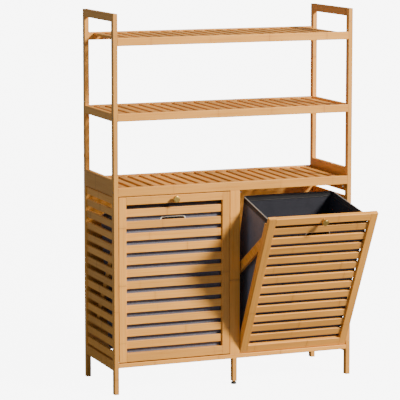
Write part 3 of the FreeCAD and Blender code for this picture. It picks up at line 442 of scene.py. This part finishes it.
def finish_cad_nodes():
    """Gives each node that stays its own material."""
    bamboo_nodes = dict(FRAME_BAMBOO)
    for side in HAMPER_SIDES:
        for piece, layout in DOOR_BAMBOO.items():
            bamboo_nodes[f"{side}_door_{piece}"] = layout
    for batch, (name, (axes, rows)) in enumerate(sorted(bamboo_nodes.items())):
        paint(name, bamboo(name, axes, rows, batch))
    for side in HAMPER_SIDES:
        paint(f"{side}_door_rim_wire", WHITE_WIRE)
        paint(f"{side}_door_pull_grommet", WHITE_PLASTIC)
        paint(f"{side}_door_screws", ZINC_STEEL)
        paint(f"{side}_door_catch_plates", ZINC_STEEL)
    paint("foot_sleeve", ZINC_STEEL)
    paint("pivot_pins", ZINC_STEEL)
    paint("catch_magnets", MAGNET_STEEL)


def paint(name, material):
    """Puts one material on all of a CAD node."""
    piece = NODES[name]
    piece.data.materials.clear()
    piece.data.materials.append(material)


# ---------------------------------------------------------------- making pieces

def add_piece(name, mesh, body, slot, *replaced, materials=()):
    """Links a finished mesh as a piece that rides on a body."""
    piece = bpy.data.objects.new(name, mesh)
    bpy.context.scene.collection.objects.link(piece)
    for material in materials:
        mesh.materials.append(material)
    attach(piece, body)
    if replaced:
        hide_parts(*replaced)
    return piece


def mesh_of(name, working):
    """Closes a bmesh into a smooth mesh."""
    mesh = bpy.data.meshes.new(name)
    working.to_mesh(mesh)
    working.free()
    for face in mesh.polygons:
        face.use_smooth = True
    return mesh


def evaluated_mesh(name, holder):
    """The mesh that an object's modifiers or curve settings make."""
    bpy.context.view_layer.update()
    ready = holder.evaluated_get(bpy.context.evaluated_depsgraph_get())
    mesh = bpy.data.meshes.new_from_object(ready)
    mesh.name = name
    return mesh


def drop(holder):
    """Removes a helper object with its data."""
    data = holder.data
    bpy.data.objects.remove(holder)
    if isinstance(data, bpy.types.Mesh):
        bpy.data.meshes.remove(data)
    else:
        bpy.data.curves.remove(data)


def turned_mesh(name, profile, place, steps=48):
    """A turned piece. profile lists (distance along the axis, radius), from pole to pole, and place
    takes the axis +Z to where the piece is."""
    working = bmesh.new()
    rings = []
    for distance, radius in profile:
        if radius == 0:
            rings.append([working.verts.new((0, 0, distance))])
            continue
        turns = [math.tau * step / steps for step in range(steps)]
        rings.append([working.verts.new((radius * math.cos(turn), radius * math.sin(turn), distance))
                      for turn in turns])
    for lower, upper in zip(rings, rings[1:]):
        for step in range(steps):
            after = (step + 1) % steps
            corners = [lower[step % len(lower)], lower[after % len(lower)],
                       upper[after % len(upper)], upper[step % len(upper)]]
            working.faces.new(list(dict.fromkeys(corners)))
    bmesh.ops.recalc_face_normals(working, faces=working.faces)
    bmesh.ops.transform(working, matrix=place, verts=working.verts)
    return mesh_of(name, working)


def tube_mesh(name, points, radius, place, closed=False):
    """A round tube along a smooth line."""
    curve = bpy.data.curves.new(name, "CURVE")
    curve.dimensions = "3D"
    curve.bevel_depth = radius
    curve.bevel_resolution = 3
    curve.use_fill_caps = True
    spline = curve.splines.new("POLY")
    spline.points.add(len(points) - 1)
    for point, where in zip(spline.points, points):
        point.co = (*(place @ Vector(where)), 1.0)
    spline.use_cyclic_u = closed
    holder = bpy.data.objects.new(name, curve)
    bpy.context.scene.collection.objects.link(holder)
    mesh = evaluated_mesh(name, holder)
    drop(holder)
    for face in mesh.polygons:
        face.use_smooth = True
    return mesh


def grown_mesh(name, mesh, tree, values):
    """Runs a geometry node tree on a mesh and returns the plain mesh it makes."""
    holder = bpy.data.objects.new(name, mesh)
    modifier = holder.modifiers.new(name, "NODES")
    modifier.node_group = tree
    for socket in tree.interface.items_tree:
        if socket.in_out == "INPUT" and socket.name in values:
            modifier[socket.identifier] = values[socket.name]
    bpy.context.scene.collection.objects.link(holder)
    made = evaluated_mesh(name, holder)
    holder.modifiers.clear()
    drop(holder)
    return made


# ---------------------------------------------------------------- knobs and foot

# (distance from the door, radius) along a knob.
KNOB_PROFILE = [
    (0.0, 0.0), (0.0, 0.0078), (0.0006, 0.0080), (0.0016, 0.0078), (0.0030, 0.0067), (0.0060, 0.0060),
    (0.0090, 0.0060), (0.0112, 0.0069), (0.0130, 0.0090), (0.0142, 0.0114), (0.0153, 0.0126),
    (0.0165, 0.0130),
    (0.0200, 0.0130), (0.0213, 0.0127), (0.0222, 0.0119), (0.0226, 0.0108), (0.0227, 0.0060), (0.0227, 0.0),
]


def knob(side):
    low, high = upright_box(f"{side}_door_knob")
    centre = (low + high) / 2
    door_face = upright_box(f"{side}_door_stiles")[0].y
    outward = Matrix.Translation((centre.x, door_face, centre.z)) @ Matrix.Rotation(math.radians(90), 4, "X")
    mesh = turned_mesh(f"{side}_knob", KNOB_PROFILE, in_door(side) @ outward)
    add_piece(f"{side}_knob", mesh, f"{side}_door", "knob_brass", f"{side}_door_knob", materials=[KNOB_BRASS])


def in_door(side):
    """Door space of the left door's boxes, carried to either door."""
    return DOOR_SPACE[side]


def levelling_foot():
    """Pad with a rim, its stem going up into the centre leg."""
    low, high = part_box("levelling_foot")
    centre = (Vector(low) + Vector(high)) / 2
    pad = (high[0] - low[0]) / 2
    stem = 0.004
    stem_top = high[2] - low[2]
    profile = [
        (0.0, 0.0), (0.0, pad * 0.84), (0.0004, pad * 0.90), (0.0014, pad * 0.98), (0.0024, pad),
        (0.0046, pad), (0.0050, pad * 0.94), (0.0056, pad * 0.94), (0.0060, pad * 0.99), (0.0074, pad * 0.98),
        (0.0086, pad * 0.88), (0.0090, pad * 0.7), (0.0090, stem), (stem_top - 0.0006, stem),
        (stem_top, stem * 0.8), (stem_top, 0.0),
    ]
    mesh = turned_mesh("levelling_foot_pad", profile, Matrix.Translation((centre.x, centre.y, low[2])))
    add_piece("levelling_foot_pad", mesh, "foot", "foot_plastic", "levelling_foot", materials=[BLACK_PLASTIC])


# ---------------------------------------------------------------- screw heads

RAILS_WITH_SCREWS = (
    "top_shelf_front_rail", "top_shelf_back_rail", "middle_shelf_front_rail", "middle_shelf_back_rail",
    "deck_front_rail", "deck_back_rail", "bottom_front_rail", "bottom_back_rail",
)


def screw_head_tree():
    """On each point, a round head with a hexagonal socket, its axis along the point's normal."""
    tree, given, result = new_group(
        "screw_heads", "GeometryNodeTree",
        [("Points", "Geometry", None), ("Radius", "Float", 0.0044), ("Height", "Float", 0.0036),
         ("Socket Radius", "Float", 0.0022), ("Socket Depth", "Float", 0.0024), ("Finish", "Material", None)],
        [("Heads", "Geometry")])
    head = node(tree, "GeometryNodeMeshCylinder", {
        "Vertices": 28, "Radius": given["Radius"], "Depth": given["Height"]}).outputs["Mesh"]
    socket = node(tree, "GeometryNodeMeshCylinder", {
        "Vertices": 6, "Radius": given["Socket Radius"], "Depth": given["Socket Depth"]}).outputs["Mesh"]
    rise = math_node(tree, "MULTIPLY", given["Height"], 0.5)
    lift = node(tree, "ShaderNodeCombineXYZ", {2: rise}).outputs[0]
    raised = node(tree, "GeometryNodeTransform", {"Geometry": socket, "Translation": lift}).outputs[0]
    cut = node(tree, "GeometryNodeMeshBoolean", {"Mesh 1": head}, operation="DIFFERENCE")
    tree.links.new(raised, cut.inputs["Mesh 2"])
    facing = node(
        tree, "GeometryNodeInputNamedAttribute", {"Name": "facing"}, data_type="FLOAT_VECTOR").outputs[0]
    turn = node(tree, "FunctionNodeAlignRotationToVector", {"Vector": facing}, axis="Z").outputs[0]
    placed = node(tree, "GeometryNodeInstanceOnPoints", {
        "Points": given["Points"], "Instance": cut.outputs["Mesh"], "Rotation": turn}).outputs[0]
    plain = node(tree, "GeometryNodeRealizeInstances", {"Geometry": placed}).outputs[0]
    painted = node(tree, "GeometryNodeSetMaterial", {
        "Geometry": plain, "Material": given["Finish"]}).outputs[0]
    tree.links.new(painted, result["Heads"])
    return tree


def frame_screws():
    """Two screws hold each rail, one through the outside of each post."""
    head_height = 0.0036
    sink = 0.0006
    centres = []
    facings = []
    for rail in RAILS_WITH_SCREWS:
        low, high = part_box(rail)
        for post, outward in (("left_front_post", -1), ("right_front_post", 1)):
            post_low, post_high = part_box(post)
            outside = post_low[0] if outward < 0 else post_high[0]
            centres.append((outside - outward * (sink + head_height / 2), (low[1] + high[1]) / 2,
                            (low[2] + high[2]) / 2))
            facings.append((outward, 0.0, 0.0))
    mesh = bpy.data.meshes.new("screw_points")
    mesh.from_pydata(centres, [], [])
    facing = mesh.attributes.new("facing", "FLOAT_VECTOR", "POINT")
    for slot, direction in zip(facing.data, facings):
        slot.vector = direction
    values = {"Height": head_height, "Finish": ZINC_STEEL}
    heads = grown_mesh("frame_screw_heads", mesh, screw_head_tree(), values)
    add_piece("frame_screw_heads", heads, "frame", "steel", "frame_screws")


# ---------------------------------------------------------------- hamper liners

LINER_LOW, LINER_HIGH = upright_box("left_door_liner")
HALF_WIDTH = (LINER_HIGH.x - LINER_LOW.x) / 2
FRONT = LINER_LOW.y
BASE = LINER_LOW.z
FRONT_RIM = LINER_HIGH.z
RIM_DEPTH = LINER_HIGH.y - LINER_LOW.y
BASE_DEPTH = 0.203
REAR_RIM_FALL = 0.087
REAR_TAPER = 0.013
LINER_CORNER = 0.014
BASE_ROUND = 0.012
CLOTH_THICKNESS = 0.0018
CORNER_STEPS = 8
WIDE_STEPS = 46
DEEP_STEPS = 28
WALL_STEPS = 56
HEM_HEIGHT = 0.020
BASE_RING_INSETS = (0.098, 0.080, 0.060, 0.042, 0.028)
BASE_ROUND_STEPS = 6


def narrowed(x, y):
    """The liner is narrower at the rear than at the front."""
    return x * (1 - REAR_TAPER / HALF_WIDTH * (y - FRONT) / RIM_DEPTH), y


def liner_outline(depth, inset):
    """Points round the liner at one level, counter-clockwise from the front left corner's end. Each
    is (x, y, outward x, outward y, side name, share along that side)."""
    radius = max(LINER_CORNER - inset, 0.002)
    half_x = HALF_WIDTH - inset
    near = FRONT + inset
    far = FRONT + depth - inset
    corners = [
        (half_x - radius, near + radius, -90), (half_x - radius, far - radius, 0),
        (-half_x + radius, far - radius, 90), (-half_x + radius, near + radius, 180),
    ]
    sides = [("right", DEEP_STEPS), ("rear", WIDE_STEPS), ("left", DEEP_STEPS), ("front", WIDE_STEPS)]
    points = []
    for number, (x, y, start) in enumerate(corners):
        for step in range(CORNER_STEPS):
            angle = math.radians(start + 90 * step / CORNER_STEPS)
            out = (math.cos(angle), math.sin(angle))
            points.append((*narrowed(x + radius * out[0], y + radius * out[1]), *out, "corner", 0.0))
        side, steps = sides[number]
        angle = math.radians(start + 90)
        out = (math.cos(angle), math.sin(angle))
        next_x, next_y, _ = corners[(number + 1) % 4]
        for step in range(steps):
            share = step / steps
            wall_x = x + (next_x - x) * share + radius * out[0]
            wall_y = y + (next_y - y) * share + radius * out[1]
            points.append((*narrowed(wall_x, wall_y), *out, side, share))
    return points


def rim_height(y):
    return FRONT_RIM - REAR_RIM_FALL * (y - FRONT) / RIM_DEPTH


SIDE_SAG = {"left": 0.0065, "right": 0.0065, "rear": 0.0050, "front": 0.0010, "corner": 0.0}
WRINKLE = {"left": 0.0022, "right": 0.0022, "rear": 0.0022, "front": 0.0008, "corner": 0.0009}


def sag(side, share, level, x, y, z, seed):
    """How far the cloth hangs inwards of its frame at a point of a wall."""
    bow = SIDE_SAG[side] * math.sin(math.pi * share) * math.sin(math.pi * min(1.0, level)) ** 0.8
    free = math.sin(math.pi * min(1.0, max(0.0, level))) ** 0.5
    broad = noise.noise(Vector((x * 7 + seed, y * 7, z * 5)))
    fold = noise.noise(Vector((x * 16 - z * 9, y * 16 + seed, z * 11 + x * 6)))
    return bow + WRINKLE[side] * free * (0.7 + 0.6 * broad + 0.45 * fold)


def liner_ring(level, inset, seed):
    """One ring of the liner: level runs from 0 at the base to 1 at the rim."""
    ring = []
    lower = liner_outline(BASE_DEPTH, inset)
    upper = liner_outline(RIM_DEPTH, inset)
    for low, high in zip(lower, upper):
        x = low[0] + (high[0] - low[0]) * level
        y = low[1] + (high[1] - low[1]) * level
        z = BASE + (rim_height(high[1]) - BASE) * level
        inwards = sag(low[4], low[5], level, x, y, z, seed)
        ring.append(Vector((x - low[2] * inwards, y - low[3] * inwards, z)))
    return ring


def liner_levels():
    """(level, inset) of each ring, from the middle of the base up to the rim."""
    height = FRONT_RIM - BASE
    rings = [(0.0, inset) for inset in BASE_RING_INSETS]
    for step in range(BASE_ROUND_STEPS + 1):
        angle = math.radians(90 * step / BASE_ROUND_STEPS)
        rings.append((BASE_ROUND * (1 - math.cos(angle)) / height, BASE_ROUND * (1 - math.sin(angle))))
    first = BASE_ROUND / height
    rings += [(first + (1 - first) * step / WALL_STEPS, 0.0) for step in range(1, WALL_STEPS + 1)]
    return rings


def liner_shell(name, place, seed):
    """The liner's cloth: one open shell from the base to the rim, with its flat measure as UVs."""
    working = bmesh.new()
    flat_measure = working.loops.layers.uv.new("flat_measure")
    rings = []
    measures = []
    climbed = 0.0
    before = None
    for level, inset in liner_levels():
        points = liner_ring(level, inset, seed)
        if before is not None:
            climbed += (points[0] - before[0]).length
        before = points
        rings.append([working.verts.new(place @ point) for point in points])
        run = [0.0]
        for here, there in zip(points, points[1:] + points[:1]):
            run.append(run[-1] + (there - here).length)
        measures.append((run, climbed))
    working.faces.new(list(reversed(rings[0])))
    count = len(rings[0])
    for number, (lower, upper) in enumerate(zip(rings, rings[1:])):
        for step in range(count):
            after = (step + 1) % count
            face = working.faces.new([lower[step], lower[after], upper[after], upper[step]])
            corners = [(number, step), (number, step + 1), (number + 1, step + 1), (number + 1, step)]
            for loop, (ring, at) in zip(face.loops, corners):
                run, climb = measures[ring]
                loop[flat_measure].uv = (run[at], climb)
    bmesh.ops.recalc_face_normals(working, faces=working.faces)
    return mesh_of(name, working)


def stadium(width, height, steps=10):
    """Points of a slot with round ends, round its middle."""
    radius = height / 2
    points = []
    for centre, start in ((width / 2 - radius, -90), (radius - width / 2, 90)):
        for step in range(steps + 1):
            angle = math.radians(start + 180 * step / steps)
            points.append((centre + radius * math.cos(angle), radius * math.sin(angle)))
    return points


def hand_hole_cutter(side):
    """A block through the front of the liner, inside its grommet."""
    low, high = upright_box(f"{side}_door_pull_grommet")
    ring_width = 0.0024
    middle = (low + high) / 2
    outline = stadium(high.x - low.x - 2 * ring_width, high.z - low.z - 2 * ring_width)
    working = bmesh.new()
    reach = 0.02
    walls = []
    for y in (low.y - reach, high.y + reach):
        walls.append([working.verts.new((middle.x + x, y, middle.z + z)) for x, z in outline])
    working.faces.new(walls[0])
    working.faces.new(list(reversed(walls[1])))
    for step in range(len(outline)):
        after = (step + 1) % len(outline)
        working.faces.new([walls[0][after], walls[0][step], walls[1][step], walls[1][after]])
    bmesh.ops.recalc_face_normals(working, faces=working.faces)
    bmesh.ops.transform(working, matrix=in_door(side), verts=working.verts)
    cutter = bpy.data.objects.new("hand_hole_cutter", mesh_of("hand_hole_cutter", working))
    bpy.context.scene.collection.objects.link(cutter)
    return cutter


def liner_cloth(side, seed):
    """The shell with its thickness, its lining and its hand-hole. The lining is darkened as painted shade of
    the bag's inside.
    """
    holder = bpy.data.objects.new("liner_holder", liner_shell("liner_shell", in_door(side), seed))
    bpy.context.scene.collection.objects.link(holder)
    holder.data.materials.append(LINER_OUTSIDE)
    holder.data.materials.append(LINER_INSIDE_PAINTED_SHADE)
    thicken = holder.modifiers.new("thicken", "SOLIDIFY")
    thicken.thickness = CLOTH_THICKNESS
    thicken.offset = -1.0
    # The inner face gets the darker lining colour: painted shade inside the bag.
    thicken.material_offset = 1
    cutter = hand_hole_cutter(side)
    hole = holder.modifiers.new("hand_hole", "BOOLEAN")
    hole.operation = "DIFFERENCE"
    hole.solver = "EXACT"
    hole.object = cutter
    mesh = evaluated_mesh(f"{side}_liner_cloth", holder)
    drop(holder)
    drop(cutter)
    return add_piece(f"{side}_liner_cloth", mesh, f"{side}_door", "liner_cloth", f"{side}_door_liner")


# (outwards, up from the rim) round the folded tape.
HEM_SECTION = [
    (0.0004, -HEM_HEIGHT), (0.0010, -HEM_HEIGHT + 0.0012), (0.0011, -0.0040), (0.0009, -0.0014),
    (0.0002, -0.0004), (-0.0009, -0.0001), (-0.0020, -0.0004), (-0.0027, -0.0014), (-0.0029, -0.0040),
    (-0.0028, -HEM_HEIGHT + 0.0012), (-0.0022, -HEM_HEIGHT), (-0.0009, -HEM_HEIGHT - 0.0002),
]


def liner_hem(side, seed):
    """Tape folded over the rim, inside and out."""
    working = bmesh.new()
    flat_measure = working.loops.layers.uv.new("flat_measure")
    outline = liner_outline(RIM_DEPTH, 0.0)
    wall_height = FRONT_RIM - BASE
    point_spacing = 0.0087
    section_spacing = 0.004
    loops = []
    for outwards, drop_down in HEM_SECTION:
        level = 1.0 + drop_down / wall_height
        ring = liner_ring(min(level, 1.0), 0.0, seed)
        loops.append([working.verts.new(in_door(side) @ (point + Vector((out[2], out[3], 0)) * outwards))
                      for point, out in zip(ring, outline)])
    count = len(outline)
    for number in range(len(loops)):
        inner, outer = loops[number], loops[(number + 1) % len(loops)]
        for step in range(count):
            after = (step + 1) % count
            face = working.faces.new([inner[step], inner[after], outer[after], outer[step]])
            for loop, (across, along) in zip(face.loops, ((0, 0), (0, 1), (1, 1), (1, 0))):
                loop[flat_measure].uv = ((step + along) * point_spacing, (number + across) * section_spacing)
    bmesh.ops.recalc_face_normals(working, faces=working.faces)
    mesh = mesh_of(f"{side}_liner_hem", working)
    return add_piece(f"{side}_liner_hem", mesh, f"{side}_door", "liner_cloth", materials=[LINER_HEM])


def stitch_tree():
    """Stitches laid end to end along an edge path."""
    tree, given, result = new_group(
        "stitches", "GeometryNodeTree",
        [("Path", "Geometry", None), ("Stitch Spacing", "Float", 0.0055), ("Stitch Length", "Float", 0.0038),
         ("Thread Radius", "Float", 0.00045), ("Finish", "Material", None)],
        [("Stitches", "Geometry")])
    curve = node(tree, "GeometryNodeMeshToCurve", {"Mesh": given["Path"]}).outputs[0]
    places = node(tree, "GeometryNodeCurveToPoints", {"Curve": curve, "Length": given["Stitch Spacing"]},
                  mode="LENGTH")
    stitch = node(tree, "GeometryNodeMeshUVSphere", {
        "Segments": 6, "Rings": 5, "Radius": 1.0}).outputs["Mesh"]
    half = math_node(tree, "MULTIPLY", given["Stitch Length"], 0.5)
    size = node(tree, "ShaderNodeCombineXYZ", {
        0: given["Thread Radius"], 1: given["Thread Radius"], 2: half}).outputs[0]
    shaped = node(tree, "GeometryNodeTransform", {"Geometry": stitch, "Scale": size}).outputs[0]
    laid = node(tree, "GeometryNodeInstanceOnPoints", {
        "Points": places.outputs["Points"], "Instance": shaped,
        "Rotation": places.outputs["Rotation"]}).outputs[0]
    plain = node(tree, "GeometryNodeRealizeInstances", {"Geometry": laid}).outputs[0]
    painted = node(tree, "GeometryNodeSetMaterial", {
        "Geometry": plain, "Material": given["Finish"]}).outputs[0]
    tree.links.new(painted, result["Stitches"])
    return tree


STITCHES = stitch_tree()


def path_mesh(name, runs):
    """Each run of points as a chain of edges."""
    points = []
    edges = []
    for run in runs:
        first = len(points)
        points += [tuple(point) for point in run]
        edges += [(first + step, first + step + 1) for step in range(len(run) - 1)]
    mesh = bpy.data.meshes.new(name)
    mesh.from_pydata(points, edges, [])
    return mesh


def liner_stitches(side, seed):
    """A row below the rim, outside and inside."""
    place = in_door(side)
    outline = liner_outline(RIM_DEPTH, 0.0)
    wall_height = FRONT_RIM - BASE
    fall = 0.0165
    outside_row = 0.0012
    inside_row = -0.0030
    ring = liner_ring(1.0 - fall / wall_height, 0.0, seed)
    runs = []
    for outwards in (outside_row, inside_row):
        run = [place @ (point + Vector((out[2], out[3], 0)) * outwards) for point, out in zip(ring, outline)]
        runs.append(run + run[:1])
    paths = path_mesh("stitch_path", runs)
    mesh = grown_mesh(f"{side}_liner_stitches", paths, STITCHES, {"Finish": STITCH_THREAD})
    return add_piece(f"{side}_liner_stitches", mesh, f"{side}_door", "liner_cloth")


def rim_sleeve(side):
    """The sleeve of cloth that holds the rear run of the rim wire."""
    wire_radius = 0.002
    sleeve_wall = 0.0013
    above_rim = 0.0021
    inset = 0.001
    points = []
    for x, y, _, _, name, _ in liner_outline(RIM_DEPTH, inset):
        if name == "rear" or (name == "corner" and y > FRONT + RIM_DEPTH / 2):
            points.append((x, y, rim_height(y) + above_rim))
    sleeve = tube_mesh(f"{side}_rim_sleeve", points, wire_radius + sleeve_wall, in_door(side))
    flat = sleeve.uv_layers.new(name="flat_measure")
    for loop in sleeve.loops:
        where = sleeve.vertices[loop.vertex_index].co
        flat.data[loop.index].uv = (where.x, where.z + where.y)
    return add_piece(f"{side}_rim_sleeve", sleeve, f"{side}_door", "liner_cloth", materials=[LINER_HEM])


def base_piping(side, seed):
    """Corded seam round the lower edge of the liner."""
    height = FRONT_RIM - BASE
    rise = 0.0105
    inset = 0.0035
    radius = 0.0016
    points = liner_ring(rise / height, inset, seed)
    mesh = tube_mesh(f"{side}_base_piping", points, radius, in_door(side), closed=True)
    flat = mesh.uv_layers.new(name="flat_measure")
    for loop in mesh.loops:
        where = mesh.vertices[loop.vertex_index].co
        flat.data[loop.index].uv = (where.x + where.y, where.z)
    return add_piece(f"{side}_base_piping", mesh, f"{side}_door", "liner_cloth", materials=[LINER_HEM])


def hamper_liner(side, seed):
    liner = liner_cloth(side, seed)
    trim = [liner_hem(side, seed), liner_stitches(side, seed), rim_sleeve(side), base_piping(side, seed)]


# ---------------------------------------------------------------- studio

def studio_floor():
    """A pale floor that sweeps up into a backdrop. A camera that stands behind the backdrop sees only
    its back, so the cabinet can't be seen from there."""
    glow_to_camera = 7.5
    half_width = 9.0
    near = -12.0
    bend_start = 3.2
    bend_radius = 1.6
    top = 7.0
    steps = 16
    section = [(near, 0.0), (bend_start, 0.0)]
    for step in range(1, steps + 1):
        angle = math.radians(90 * step / steps)
        section.append((bend_start + bend_radius * math.sin(angle), bend_radius * (1 - math.cos(angle))))
    section.append((bend_start + bend_radius, top))
    working = bmesh.new()
    columns = [[working.verts.new((x, y, z)) for y, z in section] for x in (-half_width, half_width)]
    for step in range(len(section) - 1):
        working.faces.new([columns[0][step], columns[1][step], columns[1][step + 1], columns[0][step + 1]])
    floor = bpy.data.objects.new("studio_floor", mesh_of("studio_floor", working))
    bpy.context.scene.collection.objects.link(floor)
    made, tree, shader = new_material("studio_paper")
    paper = stretched_noise(tree, object_place(tree), (2, 2, 2), detail=2.0)
    tone = blend_color(tree, paper, (0.17, 0.175, 0.18, 1), (0.18, 0.185, 0.19, 1))
    tree.links.new(tone, shader.inputs["Base Color"])
    shader.inputs["Roughness"].default_value = 0.9
    shader.inputs["Specular IOR Level"].default_value = 0.1
    shader.inputs["Emission Color"].default_value = (1, 1, 1, 1)
    seen = tree.nodes.new("ShaderNodeLightPath").outputs["Is Camera Ray"]
    tree.links.new(math_node(tree, "MULTIPLY", seen, glow_to_camera), shader.inputs["Emission Strength"])
    floor.data.materials.append(made)


def area_light(name, bearing, height, distance, size, power, color):
    """A soft light that faces the cabinet. bearing 0 is straight in front, and turns to the right."""
    data = bpy.data.lights.new(name, "AREA")
    data.shape = "DISK"
    data.size = size
    data.energy = power
    data.color = color
    light = bpy.data.objects.new(name, data)
    target = Vector((0, 0, 0.75))
    turn = math.radians(bearing)
    rise = math.radians(height)
    aim = Vector((math.sin(turn) * math.cos(rise), -math.cos(turn) * math.cos(rise), math.sin(rise)))
    light.location = target + aim * distance
    light.rotation_euler = aim.to_track_quat("Z", "Y").to_euler()
    bpy.context.scene.collection.objects.link(light)


def studio_light():
    warm = (1.0, 0.91, 0.73)
    cool = (0.84, 0.93, 1.0)
    area_light("key_light", bearing=38, height=31, distance=10.0, size=2.0, power=2400, color=warm)
    area_light("left_fill", bearing=-78, height=8, distance=8.0, size=5.0, power=75, color=cool)
    world = bpy.data.worlds.new("studio_air")
    world.use_nodes = True
    air = world.node_tree.nodes["Background"]
    air.inputs["Color"].default_value = (0.90, 0.96, 1.0, 1)
    air.inputs["Strength"].default_value = 0.24
    bpy.context.scene.world = world


def studio_camera():
    """Stands to the left of the front, a little above the middle, and looks slightly down."""
    bearing = -21.48
    look_down = 7.55
    data = bpy.data.cameras.new("studio_camera")
    data.sensor_width = 36
    data.lens = 195.2
    data.shift_y = -0.09
    data.clip_end = 60
    camera = bpy.data.objects.new("studio_camera", data)
    camera.location = (-3.123, -7.747, 1.943)
    camera.rotation_euler = (math.radians(90 - look_down), 0, math.radians(bearing))
    bpy.context.scene.collection.objects.link(camera)
    bpy.context.scene.camera = camera


# ---------------------------------------------------------------- the whole cabinet

studio_camera()
studio_light()
studio_floor()
finish_cad_nodes()
levelling_foot()
frame_screws()
for number, side in enumerate(HAMPER_SIDES):
    knob(side)
    hamper_liner(side, seed=11.0 + 17.0 * number)
